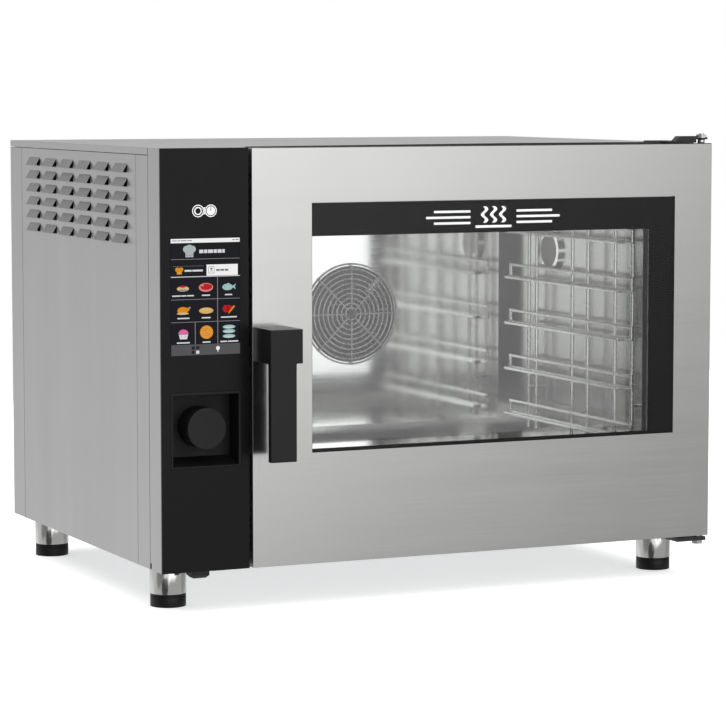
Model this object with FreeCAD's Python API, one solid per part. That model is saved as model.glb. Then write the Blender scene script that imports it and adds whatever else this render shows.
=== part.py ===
import FreeCAD, Part
import math
import os

# Countertop combi steamer oven.  All lengths in millimetres.
# Modelling frame: X from the cabinet's left side, Y from the door's front face
# towards the rear, Z from the underside of the cabinet.  save() then moves every
# piece to the row frame, whose origin is the middle of the bounding box's base.

# overall
WIDTH = 845.0
CASING_WIDTH = 838.0
DEPTH = 634.0
HEIGHT = 567.4
FOOT_HEIGHT = 58.0
REAR_REACH = 24.0
SHEET = 1.2

# front
PANEL_WIDTH = 126.0
PANEL_THICK = 3.5
DOOR_LEFT = 131.0
DOOR_THICK = 46.0
DOOR_TOP = 566.2
FRAME_FRONT = 52.0
FRAME_BACK = FRAME_FRONT + SHEET
STRIP_FRONT = 46.7
STRIP_BACK = 92.2
REAR_STRIP = 580.2
SEAM = 0.6
SIDE_TOP = 557.3

# window
WINDOW_X = (218.6, 784.7)
WINDOW_Z = (152.4, 492.2)
CLEAR_X = (219.3, 744.0)
CLEAR_Z = (157.5, 446.7)

# cooking chamber
CAVITY_X = (190.0, 770.0)
CAVITY_Z = (115.0, 500.0)
CAVITY_REAR = 548.0
BAFFLE_Y = 480.0
FAN_X = 492.7
FAN_Z = 299.6

# door hinge and handle
HINGE_X = 834.5
HINGE_Y = 12.5
HINGE_PIN_R = 4.0
HANDLE_X = 157.5
HANDLE_Z = 303.5
HANDLE_REACH = 56.0
SPINDLE_R = 7.0
RUNNING_FIT = 0.05

# control knob, display
KNOB_X = 63.5
KNOB_Z = 193.0
KNOB_R = 28.0
KNOB_FRONT = -4.0
KNOB_BACK = 29.0
ENCODER_R = 3.0
DISPLAY_X = (14.5, 113.0)
DISPLAY_Z = (292.0, 447.5)
POCKET_X = (13.6, 113.7)
POCKET_Z = (140.6, 242.0)
POCKET_BACK = 36.0

# side louvres
LOUVRE_DEPTH = 7.0
LOUVRE_LENGTH = 46.0
LOUVRE_HEIGHT = 13.0
LOUVRE_ROWS = 6
LOUVRE_COLUMNS = 6
LOUVRE_PITCH_Y = 74.0
LOUVRE_PITCH_Z = 19.3
LOUVRE_FIRST_Y = 149.0
LOUVRE_FIRST_Z = 442.5

# feet
FOOT_X = (41.0, 804.0)
FOOT_Y = (87.0, 578.0)
FOOT_R = 25.0
SLEEVE_DROP = 40.0
STEM_R = 8.0

# services
DRAIN_R = 20.0
DRAIN_Z = 45.0
DRAIN_Y = 300.0
EXHAUST_R = 12.0
EXHAUST_X = 300.0
EXHAUST_Z = 540.0
LAMP_Y = 345.0
LAMP_Z = 398.0
LAMP_R = 25.0
INLET_X = (640.0, 690.0)
INLET_Z = 60.0
INLET_R = 13.2
GLAND_X = 90.0
GLAND_Z = 70.0
GLAND_R = 14.0
NOZZLE_X = 590.0
NOZZLE_Z = 400.0
ELEMENT_R = 112.0
ELEMENT_TUBE_R = 4.0

MIDDLE_X = (CAVITY_X[0] + CAVITY_X[1]) / 2
SHAFT_R = 6.0
X_AXIS = FreeCAD.Vector(1, 0, 0)
Y_AXIS = FreeCAD.Vector(0, 1, 0)
Z_AXIS = FreeCAD.Vector(0, 0, 1)
ORIGIN = FreeCAD.Vector(
    (WIDTH - LOUVRE_DEPTH) / 2,
    (DEPTH + REAR_REACH - HANDLE_REACH) / 2,
    -FOOT_HEIGHT,
)


def save(node, shape):
    moved = shape.copy()
    moved.translate(ORIGIN.negative())
    moved.exportStep(os.path.join("parts", node + ".step"))


def point(x, y, z):
    return FreeCAD.Vector(x, y, z)


def slab(x0, x1, y0, y1, z0, z1):
    return Part.makeBox(x1 - x0, y1 - y0, z1 - z0, point(x0, y0, z0))


def rod(start, end, radius):
    along = end.sub(start)
    return Part.makeCylinder(radius, along.Length, start, along)


def ball(centre, radius):
    return Part.makeSphere(radius, centre)


def fuse(shapes):
    joined = shapes[0].multiFuse(shapes[1:])
    return joined.removeSplitter()


def carve(shape, tools):
    return shape.cut(tools)


def bent_rod(corners, radius, closed=False):
    """A round wire or pipe through a list of corners, with rounded bends."""
    pieces = []
    ends = corners[1:] + corners[:1] if closed else corners[1:]
    for start, end in zip(corners, ends):
        pieces.append(rod(start, end, radius))
    bends = corners if closed else corners[1:-1]
    for corner in bends:
        pieces.append(ball(corner, radius))
    return fuse(pieces)


def ring_frame(x, y, z, width):
    """A flat rectangular ring; x and z are the hole's limits, width the land."""
    outer = slab(x[0] - width, x[1] + width, y[0], y[1], z[0] - width, z[1] + width)
    inner = slab(x[0], x[1], y[0], y[1], z[0], z[1])
    return outer.cut(inner)


# ---------------------------------------------------------------- outer casing


def base_pan():
    """Floor sheet of the casing, between the side panels."""
    thick = 2.0
    return slab(SHEET, CASING_WIDTH - SHEET, FRAME_BACK, DEPTH - SHEET, 0, thick)


def louvre_hood():
    """One pressed rain hood: slopes outwards going down, open below and at the front."""
    wall = 0.8
    half = LOUVRE_HEIGHT / 2
    outline = [
        point(SHEET / 2, 0, half),
        point(-LOUVRE_DEPTH, 0, -half),
        point(-LOUVRE_DEPTH + wall, 0, -half),
        point(SHEET / 2, 0, half - 2 * wall),
        point(SHEET / 2, 0, half),
    ]
    skin = Part.Face(Part.makePolygon(outline)).extrude(Y_AXIS * LOUVRE_LENGTH)
    cheek = [
        point(SHEET / 2, 0, half),
        point(-LOUVRE_DEPTH, 0, -half),
        point(SHEET / 2, 0, -half),
        point(SHEET / 2, 0, half),
    ]
    end = Part.Face(Part.makePolygon(cheek)).extrude(Y_AXIS * wall)
    end.translate(point(0, LOUVRE_LENGTH - wall, 0))
    return fuse([skin, end])


def louvre_centres():
    centres = []
    for row in range(LOUVRE_ROWS):
        for column in range(LOUVRE_COLUMNS):
            y = LOUVRE_FIRST_Y + column * LOUVRE_PITCH_Y
            z = LOUVRE_FIRST_Z + row * LOUVRE_PITCH_Z
            centres.append(point(0, y, z))
    return centres


def left_side_panel():
    """Side sheet with the field of pressed louvres."""
    sheet = slab(0, SHEET, STRIP_BACK + SEAM, REAR_STRIP - SEAM, 0, SIDE_TOP)
    hood = louvre_hood()
    bridge = 2.0
    slots = []
    hoods = []
    for centre in louvre_centres():
        y0 = centre.y - LOUVRE_LENGTH / 2
        low = centre.z - LOUVRE_HEIGHT / 2
        high = centre.z + LOUVRE_HEIGHT / 2 - bridge
        slots.append(slab(0, SHEET, y0, y0 + LOUVRE_LENGTH - bridge, low, high))
        placed = hood.copy()
        placed.translate(point(0, y0, centre.z))
        hoods.append(placed)
    return fuse([sheet.cut(slots)] + hoods)


def right_side_panel():
    x = CASING_WIDTH
    return slab(x - SHEET, x, STRIP_BACK + SEAM, REAR_STRIP - SEAM, 0, SIDE_TOP)


def rear_corner(side):
    """Angle that closes one rear edge of the casing; side is 0 left, 1 right."""
    lip = 40.0
    outer = side * (CASING_WIDTH - SHEET)
    wing = slab(outer, outer + SHEET, REAR_STRIP + SEAM, DEPTH, 0, SIDE_TOP)
    start = side * (CASING_WIDTH - lip)
    back = slab(start, start + lip, DEPTH - SHEET, DEPTH, 0, SIDE_TOP)
    return fuse([wing, back])


def rear_corners():
    return Part.makeCompound([rear_corner(0), rear_corner(1)])


def rear_panel():
    """Removable back sheet with the service holes and motor vents."""
    lip = 40.0
    clear = 0.3
    vent_count = 10
    vent_pitch = 14.0
    vent_size = 6.0
    vent_x = (570.0, 700.0)
    vent_low = 380.0
    x0 = lip + SEAM
    sheet = slab(x0, CASING_WIDTH - x0, DEPTH - SHEET, DEPTH, 0, SIDE_TOP)
    front = DEPTH - SHEET
    holes = []
    for x in INLET_X:
        holes.append(rod(point(x, front, INLET_Z), point(x, DEPTH, INLET_Z), INLET_R + clear))
    for x, z, radius in service_ports():
        holes.append(rod(point(x, front, z), point(x, DEPTH, z), radius + clear))
    for step in range(vent_count):
        low = vent_low + step * vent_pitch
        holes.append(slab(vent_x[0], vent_x[1], front, DEPTH, low, low + vent_size))
    return carve(sheet, holes)


def service_ports():
    drain = (MIDDLE_X, DRAIN_Z, DRAIN_R)
    exhaust = (EXHAUST_X, EXHAUST_Z, EXHAUST_R)
    gland = (GLAND_X, GLAND_Z, GLAND_R)
    return [drain, exhaust, gland]


def top_cover():
    """Top sheet with short flanges turned down over the sides and back."""
    flange_low = SIDE_TOP + SEAM
    under = HEIGHT - SHEET
    plate = slab(0, CASING_WIDTH, FRAME_FRONT, DEPTH, under, HEIGHT)
    tongue = slab(0, PANEL_WIDTH, STRIP_FRONT, FRAME_FRONT, under, HEIGHT)
    left = slab(0, SHEET, STRIP_FRONT, DEPTH, flange_low, HEIGHT)
    right_x = CASING_WIDTH - SHEET
    right = slab(right_x, CASING_WIDTH, FRAME_FRONT, DEPTH, flange_low, HEIGHT)
    back = slab(0, CASING_WIDTH, DEPTH - SHEET, DEPTH, flange_low, HEIGHT)
    return fuse([plate, tongue, left, right, back])


def front_frame():
    """Front sheet round the chamber's mouth, with returns down both sides."""
    keeper_hole = 19.6
    wiring = (20.0, 106.0, 260.0, 520.0)
    right_x = CASING_WIDTH - SHEET
    plate = slab(SHEET, right_x, FRAME_FRONT, FRAME_BACK, 0, HEIGHT - SHEET)
    left = slab(0, SHEET, STRIP_FRONT, STRIP_BACK, 0, SIDE_TOP)
    right = slab(right_x, CASING_WIDTH, FRAME_FRONT, STRIP_BACK, 0, SIDE_TOP)
    mouth = slab(*CAVITY_X, FRAME_FRONT, FRAME_BACK, *CAVITY_Z)
    start = point(HANDLE_X, FRAME_FRONT, HANDLE_Z)
    latch = rod(start, point(HANDLE_X, FRAME_BACK, HANDLE_Z), keeper_hole)
    loom = slab(wiring[0], wiring[1], FRAME_FRONT, FRAME_BACK, wiring[2], wiring[3])
    return carve(fuse([plate, left, right]), [mouth, latch, loom])


def control_box():
    """Sheet box that carries the control panel in front of the casing."""
    right_wall = PANEL_WIDTH - SHEET
    back = STRIP_FRONT - 2 * SEAM
    notch = 9.0
    left = slab(0, SHEET, PANEL_THICK, back, 0, HEIGHT)
    right = slab(right_wall, PANEL_WIDTH, PANEL_THICK, FRAME_FRONT, 0, HEIGHT - SHEET)
    cover = slab(0, PANEL_WIDTH, PANEL_THICK, back, HEIGHT - SHEET, HEIGHT)
    floor = slab(SHEET, PANEL_WIDTH, PANEL_THICK, FRAME_FRONT, 0, SHEET)
    cut = slab(0, SHEET, back - notch / 2, back, 0, notch)
    return fuse([left, right, cover, floor]).cut(cut)


# ------------------------------------------------------------- cooking chamber


def cavity_floor():
    """Bottom sheet of the chamber with the drain opening."""
    under = CAVITY_Z[0] - SHEET
    x = (CAVITY_X[0] - SHEET, CAVITY_X[1] + SHEET)
    sheet = slab(*x, FRAME_BACK, CAVITY_REAR + SHEET, under, CAVITY_Z[0])
    drain = rod(
        point(MIDDLE_X, DRAIN_Y, under),
        point(MIDDLE_X, DRAIN_Y, CAVITY_Z[0]),
        DRAIN_R - 3,
    )
    return sheet.cut(drain)


def cavity_roof():
    """Top sheet of the chamber with the exhaust opening."""
    over = CAVITY_Z[1] + SHEET
    x = (CAVITY_X[0] - SHEET, CAVITY_X[1] + SHEET)
    sheet = slab(*x, FRAME_BACK, CAVITY_REAR + SHEET, CAVITY_Z[1], over)
    start = point(EXHAUST_X, DRAIN_Y, CAVITY_Z[1])
    vent = rod(start, point(EXHAUST_X, DRAIN_Y, over), EXHAUST_R - 2 * SHEET)
    return sheet.cut(vent)


def cavity_left_wall():
    x = CAVITY_X[0]
    return slab(x - SHEET, x, FRAME_BACK, CAVITY_REAR + SHEET, *CAVITY_Z)


def cavity_right_wall():
    """Right sheet of the chamber with the lamp's opening."""
    x = CAVITY_X[1]
    wall = slab(x, x + SHEET, FRAME_BACK, CAVITY_REAR + SHEET, *CAVITY_Z)
    hole = rod(point(x, LAMP_Y, LAMP_Z), point(x + SHEET, LAMP_Y, LAMP_Z), LAMP_R - 3)
    return wall.cut(hole)


def cavity_rear_wall():
    """Back sheet of the chamber with holes for shaft, element and nozzle."""
    back = CAVITY_REAR + SHEET
    shaft_hole = 9.0
    lead_hole = ELEMENT_TUBE_R + 0.5
    wall = slab(*CAVITY_X, CAVITY_REAR, back, *CAVITY_Z)
    holes = [rod(point(FAN_X, CAVITY_REAR, FAN_Z), point(FAN_X, back, FAN_Z), shaft_hole)]
    for x, z in lead_centres() + [(NOZZLE_X, NOZZLE_Z)]:
        holes.append(rod(point(x, CAVITY_REAR, z), point(x, back, z), lead_hole))
    return carve(wall, holes)


def insulation_blanket():
    """Mineral wool wrapped round the chamber's sides, roof, floor and back."""
    front = 66.0
    rear = 578.0
    side = 38.8
    lift = 25.8
    drop = 37.8
    inner_x = (CAVITY_X[0] - SHEET, CAVITY_X[1] + SHEET)
    inner_z = (CAVITY_Z[0] - SHEET, CAVITY_Z[1] + SHEET)
    low = inner_z[0] - drop
    high = inner_z[1] + lift
    block = slab(inner_x[0] - side, inner_x[1] + side, front, rear, low, high)
    room = slab(*inner_x, front, CAVITY_REAR + SHEET, *inner_z)
    clear = 2.0
    drain = point(MIDDLE_X, DRAIN_Y, low)
    vent = point(EXHAUST_X, DRAIN_Y, inner_z[1])
    lamp = point(inner_x[1], LAMP_Y, LAMP_Z)
    shaft = point(FAN_X, CAVITY_REAR, FAN_Z)
    passages = [
        rod(drain, drain.add(Z_AXIS * drop), DRAIN_R + clear),
        rod(vent, vent.add(Z_AXIS * lift), EXHAUST_R + clear),
        rod(lamp, lamp.add(X_AXIS * side), LAMP_R + clear),
        rod(shaft, point(FAN_X, rear, FAN_Z), 2 * SHAFT_R + 2 * clear),
    ]
    for x, z in lead_centres() + [(NOZZLE_X, NOZZLE_Z)]:
        start = point(x, CAVITY_REAR, z)
        passages.append(rod(start, point(x, rear, z), ELEMENT_TUBE_R + clear))
    return carve(block, [room] + passages)


def door_gasket():
    """Silicone ring on the front frame that the closed door presses on."""
    land = 12.0
    gap = 0.4
    x = (CAVITY_X[0] - 1, CAVITY_X[1] + 1)
    z = (CAVITY_Z[0] - 1, CAVITY_Z[1] + 1)
    return ring_frame(x, (DOOR_THICK + gap, FRAME_FRONT), z, land)


def fan_baffle():
    """Removable sheet in front of the fan, on four posts, with the intake hole."""
    plate_x = (212.0, 748.0)
    plate_z = (128.0, 487.0)
    intake = 74.0
    post_r = 5.0
    inset = 14.0
    back = BAFFLE_Y + SHEET
    sheet = slab(*plate_x, BAFFLE_Y, back, *plate_z)
    hole = rod(point(FAN_X, BAFFLE_Y, FAN_Z), point(FAN_X, back, FAN_Z), intake)
    posts = []
    for x in (plate_x[0] + inset, plate_x[1] - inset):
        for z in (plate_z[0] + inset, plate_z[1] - inset):
            posts.append(rod(point(x, back, z), point(x, CAVITY_REAR, z), post_r))
    return fuse([sheet.cut(hole)] + posts)


def fan_guard():
    """Round wire guard: concentric rings on radial wires."""
    wire = 1.3
    rings = 10
    outer = 77.0
    inner = 9.0
    spokes = 8
    ring_y = BAFFLE_Y - wire
    spoke_y = ring_y - 2 * wire
    parts = []
    for step in range(rings):
        radius = inner + step * (outer - inner) / (rings - 1)
        parts.append(Part.makeTorus(radius, wire, point(FAN_X, ring_y, FAN_Z), Y_AXIS))
    for step in range(spokes):
        angle = math.radians(step * 360 / spokes)
        out = point(math.cos(angle), 0, math.sin(angle))
        hub = point(FAN_X, spoke_y, FAN_Z)
        parts.append(rod(hub.add(out * (inner - wire)), hub.add(out * (outer + wire)), wire))
    return Part.makeCompound(parts)


def fan_motor():
    """Motor on the back of the chamber, with a nose that reaches its wall."""
    body_r = 48.0
    flange_r = 62.0
    nose_r = 2 * SHAFT_R
    nose_front = CAVITY_REAR + SHEET
    flange_front = 578.0
    flange_back = 581.0
    body_back = 628.0
    bore_back = 606.0
    parts = [
        rod(point(FAN_X, nose_front, FAN_Z), point(FAN_X, flange_front, FAN_Z), nose_r),
        rod(point(FAN_X, flange_front, FAN_Z), point(FAN_X, flange_back, FAN_Z), flange_r),
        rod(point(FAN_X, flange_back, FAN_Z), point(FAN_X, body_back, FAN_Z), body_r),
    ]
    bore = rod(
        point(FAN_X, nose_front, FAN_Z),
        point(FAN_X, bore_back, FAN_Z),
        SHAFT_R + RUNNING_FIT,
    )
    return fuse(parts).cut(bore)


def fan_wheel():
    """Centrifugal wheel: back disc, straight blades, front ring, hub and shaft."""
    rim = 95.0
    blade_root = 72.0
    blades = 24
    blade_thick = 1.5
    front = 500.0
    disc_front = 538.0
    disc_back = 540.0
    hub_front = 526.0
    shaft_end = 600.0
    disc = rod(point(FAN_X, disc_front, FAN_Z), point(FAN_X, disc_back, FAN_Z), rim)
    ring = rod(point(FAN_X, front, FAN_Z), point(FAN_X, front + SHEET, FAN_Z), rim)
    eye = rod(point(FAN_X, front, FAN_Z), point(FAN_X, front + SHEET, FAN_Z), blade_root)
    hub = rod(point(FAN_X, hub_front, FAN_Z), point(FAN_X, disc_back, FAN_Z), 2 * SHAFT_R)
    shaft = rod(point(FAN_X, hub_front, FAN_Z), point(FAN_X, shaft_end, FAN_Z), SHAFT_R)
    parts = [disc, ring.cut(eye), hub, shaft]
    for step in range(blades):
        blade = slab(blade_root, rim - 1, front, disc_front, 0, blade_thick)
        blade.rotate(point(0, 0, 0), Y_AXIS, step * 360 / blades)
        blade.translate(point(FAN_X, 0, FAN_Z))
        parts.append(blade)
    return fuse(parts)


def lead_centres():
    """Where the element's two ends pass through the chamber's back, as x and z."""
    spread = math.radians(8)
    low = math.radians(-90)
    centres = []
    for angle in (low - spread, low + spread):
        x = FAN_X + ELEMENT_R * math.cos(angle)
        z = FAN_Z + ELEMENT_R * math.sin(angle)
        centres.append((x, z))
    return centres


def heating_element():
    """Three tube rings round the fan, held by flat brackets, with two leads."""
    turns = (508.0, 520.0, 532.0)
    lead_back = 576.0
    bracket_angles = (90, 210, 330)
    bracket = (6.0, 4.0)
    lead_r = ELEMENT_TUBE_R - 0.6
    parts = []
    for y in turns:
        ring = Part.makeTorus(ELEMENT_R, ELEMENT_TUBE_R, point(FAN_X, y, FAN_Z), Y_AXIS)
        parts.append(ring)
    for x, z in lead_centres():
        parts.append(rod(point(x, turns[0], z), point(x, lead_back, z), lead_r))
    for angle in bracket_angles:
        bar = slab(
            ELEMENT_R - bracket[0],
            ELEMENT_R + bracket[0],
            turns[0],
            CAVITY_REAR,
            -bracket[1] / 2,
            bracket[1] / 2,
        )
        bar.rotate(point(0, 0, 0), Y_AXIS, -angle)
        bar.translate(point(FAN_X, 0, FAN_Z))
        parts.append(bar)
    return fuse(parts)


def water_nozzle():
    """Injection tube from the back of the chamber to the eye of the fan."""
    back = 576.0
    front = 490.0
    tip = point(525.0, front, 332.0)
    corners = [point(NOZZLE_X, back, NOZZLE_Z), point(NOZZLE_X, front, NOZZLE_Z), tip]
    return bent_rod(corners, ELEMENT_TUBE_R)


def drain_strainer():
    """Perforated plug over the drain in the chamber's floor."""
    radius = 32.0
    thick = 1.5
    holes = 12
    hole_r = 2.5
    hole_circle = 12.0
    base = point(MIDDLE_X, DRAIN_Y, CAVITY_Z[0])
    plate = rod(base, base.add(Z_AXIS * thick), radius)
    cuts = []
    for step in range(holes):
        angle = math.radians(step * 360 / holes)
        spot = base.add(point(math.cos(angle), math.sin(angle), 0) * hole_circle)
        cuts.append(rod(spot, spot.add(Z_AXIS * thick), hole_r))
    return carve(plate, cuts)


def service_pipe(corners, radius, wall):
    """A hollow pipe with a weld collar and a plain socket end behind the casing."""
    collar = (6.0, 4.0)
    run_r = radius - 1
    last = corners[-1]
    behind = point(last.x, DEPTH, last.z)
    socket = point(last.x, DEPTH + collar[1], last.z)
    parts = [
        bent_rod(corners, run_r),
        rod(behind, socket, radius + collar[0]),
        rod(socket, last, radius),
    ]
    return fuse(parts).cut(bent_rod(corners, radius - wall))


def drain_pipe():
    top = point(MIDDLE_X, DRAIN_Y, CAVITY_Z[0] - SHEET)
    elbow = point(MIDDLE_X, DRAIN_Y, DRAIN_Z)
    outlet = point(MIDDLE_X, DEPTH + REAR_REACH, DRAIN_Z)
    return service_pipe([top, elbow, outlet], DRAIN_R, 3)


def exhaust_pipe():
    bottom = point(EXHAUST_X, DRAIN_Y, CAVITY_Z[1] + SHEET)
    elbow = point(EXHAUST_X, DRAIN_Y, EXHAUST_Z)
    outlet = point(EXHAUST_X, DEPTH + REAR_REACH, EXHAUST_Z)
    return service_pipe([bottom, elbow, outlet], EXHAUST_R, 2 * SHEET)


def lamp_bezel():
    """Ring on the right wall that clamps the lamp glass, with the lamp can behind."""
    wall = CAVITY_X[1]
    ring_r = 32.0
    stand = 6.0
    can_r = LAMP_R - 3.5
    can_back = 806.0
    can_wall = 1.5
    ring = rod(point(wall - stand, LAMP_Y, LAMP_Z), point(wall, LAMP_Y, LAMP_Z), ring_r)
    can = rod(point(wall, LAMP_Y, LAMP_Z), point(can_back, LAMP_Y, LAMP_Z), can_r)
    seat = rod(point(wall - stand, LAMP_Y, LAMP_Z), point(wall - 1, LAMP_Y, LAMP_Z), LAMP_R)
    hollow = rod(
        point(wall - 1, LAMP_Y, LAMP_Z),
        point(can_back - can_wall, LAMP_Y, LAMP_Z),
        can_r - can_wall,
    )
    return carve(fuse([ring, can]), [seat, hollow])


def lamp_lens():
    wall = CAVITY_X[1]
    start = point(wall - 5, LAMP_Y, LAMP_Z)
    return rod(start, point(wall - 1, LAMP_Y, LAMP_Z), LAMP_R)


def rack(inward):
    """Wire rack for five trays; inward is +1 for the left rack, -1 for the right."""
    levels = 5
    first_level = 150.0
    pitch = 70.8
    wire = 2.5
    upright = 3.0
    rail_y = (62.0, 440.0)
    rail_half = 9.0
    ledge_inset = 13.5
    ledge_reach = 253.5
    guide_reach = 269.0
    upright_y = (69.5, 120.5, 203.0, 251.0, 365.0, 390.0)
    upright_z = (122.0, 486.0)
    pin_z = (186.0, 468.0)
    ledge = MIDDLE_X - inward * ledge_reach
    guide = MIDDLE_X - inward * guide_reach
    post = guide - inward * (wire + upright)
    wall = MIDDLE_X - inward * (CAVITY_X[1] - MIDDLE_X)
    parts = []
    for level in range(levels):
        z = first_level + level * pitch
        low = z - rail_half
        corners = [
            point(guide, rail_y[0], low),
            point(guide, rail_y[1], low),
            point(guide, rail_y[1], z + rail_half),
            point(guide, rail_y[0], z + rail_half),
        ]
        parts.append(bent_rod(corners, wire, closed=True))
        inset = (rail_y[0] + ledge_inset, rail_y[1] - ledge_inset)
        start = guide + inward * 2 * wire
        shelf = [
            point(start, inset[0], low),
            point(ledge, inset[0], low),
            point(ledge, inset[1], low),
            point(start, inset[1], low),
        ]
        parts.append(bent_rod(shelf, wire))
    for y in upright_y:
        parts.append(rod(point(post, y, upright_z[0]), point(post, y, upright_z[1]), upright))
    for y in (upright_y[0], upright_y[-1]):
        for z in pin_z:
            start = point(post - inward * upright, y, z)
            parts.append(rod(start, point(wall, y, z), upright))
    return Part.makeCompound(parts)


# ---------------------------------------------------------------- control side


def control_fascia():
    """Black front panel with the cut-outs for display and knob pocket."""
    gap = 0.2
    panel = slab(0, PANEL_WIDTH, 0, PANEL_THICK, 0, HEIGHT)
    glass = slab(
        DISPLAY_X[0] - gap,
        DISPLAY_X[1] + gap,
        0,
        PANEL_THICK,
        DISPLAY_Z[0] - gap,
        DISPLAY_Z[1] + gap,
    )
    pocket = slab(
        POCKET_X[0] - gap,
        POCKET_X[1] + gap,
        0,
        PANEL_THICK,
        POCKET_Z[0] - gap,
        POCKET_Z[1] + gap,
    )
    return carve(panel, [glass, pocket])


def touch_display():
    return slab(*DISPLAY_X, 0.1, PANEL_THICK, *DISPLAY_Z)


def display_module():
    """Liquid-crystal module behind the cover glass."""
    border = 5.0
    back = 14.0
    return slab(
        DISPLAY_X[0] - border,
        DISPLAY_X[1] + border,
        PANEL_THICK,
        back,
        DISPLAY_Z[0] - border,
        DISPLAY_Z[1] + border,
    )


def control_board():
    """Circuit board on four standoffs behind the display, with its main chips."""
    front = 14.0
    board_y = (20.0, 21.6)
    chip_back = 26.0
    standoff_r = 3.0
    inset = 8.0
    chip = 22.0
    parts = [slab(*DISPLAY_X, *board_y, *DISPLAY_Z)]
    for x in (DISPLAY_X[0] + inset, DISPLAY_X[1] - inset):
        for z in (DISPLAY_Z[0] + inset, DISPLAY_Z[1] - inset):
            parts.append(rod(point(x, front, z), point(x, board_y[0], z), standoff_r))
    for step in range(3):
        x = DISPLAY_X[0] + inset
        z = DISPLAY_Z[0] + 2 * inset + step * 2 * chip
        parts.append(slab(x, x + chip, board_y[1], chip_back, z, z + chip))
    return fuse(parts)


def knob_pocket():
    """Moulded recess for the knob; its floor slopes down towards the front."""
    wall = 2.0
    open_x = (16.3, 110.8)
    open_low = 142.4
    back_low = 152.0
    open_high = 238.5
    back = POCKET_BACK - wall
    body = slab(*POCKET_X, 0, POCKET_BACK, *POCKET_Z)
    profile = [
        point(open_x[0], 0, open_low),
        point(open_x[0], back, back_low),
        point(open_x[0], back, open_high),
        point(open_x[0], 0, open_high),
        point(open_x[0], 0, open_low),
    ]
    hollow = Part.Face(Part.makePolygon(profile)).extrude(X_AXIS * (open_x[1] - open_x[0]))
    hole = rod(point(KNOB_X, back, KNOB_Z), point(KNOB_X, POCKET_BACK, KNOB_Z), ENCODER_R + 2)
    return carve(body, [hollow, hole])


def encoder_body():
    """Rotary encoder on the back of the pocket."""
    half = 7.0
    back = 45.0
    block = slab(KNOB_X - half, KNOB_X + half, POCKET_BACK, back, KNOB_Z - half, KNOB_Z + half)
    bore = rod(
        point(KNOB_X, POCKET_BACK, KNOB_Z),
        point(KNOB_X, back, KNOB_Z),
        ENCODER_R + RUNNING_FIT,
    )
    return block.cut(bore)


def encoder_plunger():
    tip = point(KNOB_X, 6.0, KNOB_Z)
    return rod(tip, point(KNOB_X, 44.0, KNOB_Z), ENCODER_R)


def knob():
    """Plain round knob with a softened front edge."""
    edge = 1.5
    body = rod(point(KNOB_X, KNOB_FRONT, KNOB_Z), point(KNOB_X, KNOB_BACK, KNOB_Z), KNOB_R)
    rims = [e for e in body.Edges if len(e.Vertexes) == 1 and e.BoundBox.YMax < 0]
    body = body.makeFillet(edge, rims)
    bore = rod(
        point(KNOB_X, 4.0, KNOB_Z),
        point(KNOB_X, KNOB_BACK, KNOB_Z),
        ENCODER_R + RUNNING_FIT,
    )
    return body.cut(bore)


def socket_cap(x, y):
    """Rubber cap hanging below the panel, narrower towards its foot."""
    half_x = 13.0
    half_y = 11.0
    drop = 13.0
    bevel = 4.0
    block = slab(x - half_x, x + half_x, y - half_y, y + half_y, -drop, 0)
    low = [e for e in block.Edges if e.BoundBox.ZMax < -drop + bevel]
    return block.makeChamfer(bevel, low)


def socket_caps():
    return Part.makeCompound([socket_cap(63.0, 32.0), socket_cap(112.0, 80.0)])


def electronics_plate():
    """Upright mounting plate in the left compartment."""
    x = 110.0
    return slab(x, x + SHEET, 130, 560, 2, 500)


def contactors():
    """Three switching contactors in a row on the mounting plate."""
    back = 110.0
    reach = 55.0
    width = 45.0
    height = 80.0
    pitch = 62.0
    first_y = 200.0
    low = 300.0
    boxes = []
    for step in range(3):
        y = first_y + step * pitch
        boxes.append(slab(back - reach, back, y, y + width, low, low + height))
    return Part.makeCompound(boxes)


# -------------------------------------------------------------------- services


def water_inlet(x):
    """Threaded stub with its solenoid valve body inside the casing."""
    half = 16.0
    valve_front = 598.0
    bore_front = 610.0
    flange_r = 17.0
    stub_front = 640.0
    stub_back = 656.0
    neck = INLET_R - 0.2
    inside = DEPTH - SHEET
    parts = [
        slab(x - half, x + half, valve_front, inside, INLET_Z - half, INLET_Z + half),
        rod(point(x, inside, INLET_Z), point(x, stub_front, INLET_Z), neck),
        rod(point(x, DEPTH, INLET_Z), point(x, stub_front, INLET_Z), flange_r),
        rod(point(x, stub_front, INLET_Z), point(x, stub_back, INLET_Z), INLET_R),
    ]
    bore = rod(point(x, bore_front, INLET_Z), point(x, stub_back, INLET_Z), neck - 4)
    return fuse(parts).cut(bore)


def water_inlets():
    return Part.makeCompound([water_inlet(x) for x in INLET_X])


def cable_gland():
    """Empty gland for the mains lead, clamped through the back sheet."""
    flange_r = 18.0
    bore_r = 8.0
    inside = DEPTH - SHEET
    nut_front = 624.0
    front = 618.0
    back = 652.0
    parts = [
        rod(point(GLAND_X, front, GLAND_Z), point(GLAND_X, back, GLAND_Z), GLAND_R),
        rod(point(GLAND_X, nut_front, GLAND_Z), point(GLAND_X, inside, GLAND_Z), flange_r),
        rod(point(GLAND_X, DEPTH, GLAND_Z), point(GLAND_X, DEPTH + 6, GLAND_Z), flange_r),
    ]
    bore = rod(point(GLAND_X, front, GLAND_Z), point(GLAND_X, back, GLAND_Z), bore_r)
    return fuse(parts).cut(bore)


def foot_sleeve(x, y):
    """Round sleeve under the casing with the bore for the foot's stem."""
    bore_top = 3.0
    sleeve = rod(point(x, y, -SLEEVE_DROP), point(x, y, 0), FOOT_R)
    bore = rod(point(x, y, -SLEEVE_DROP), point(x, y, -bore_top), STEM_R + RUNNING_FIT)
    return sleeve.cut(bore)


def foot_sleeves():
    return Part.makeCompound([foot_sleeve(x, y) for x in FOOT_X for y in FOOT_Y])


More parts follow.
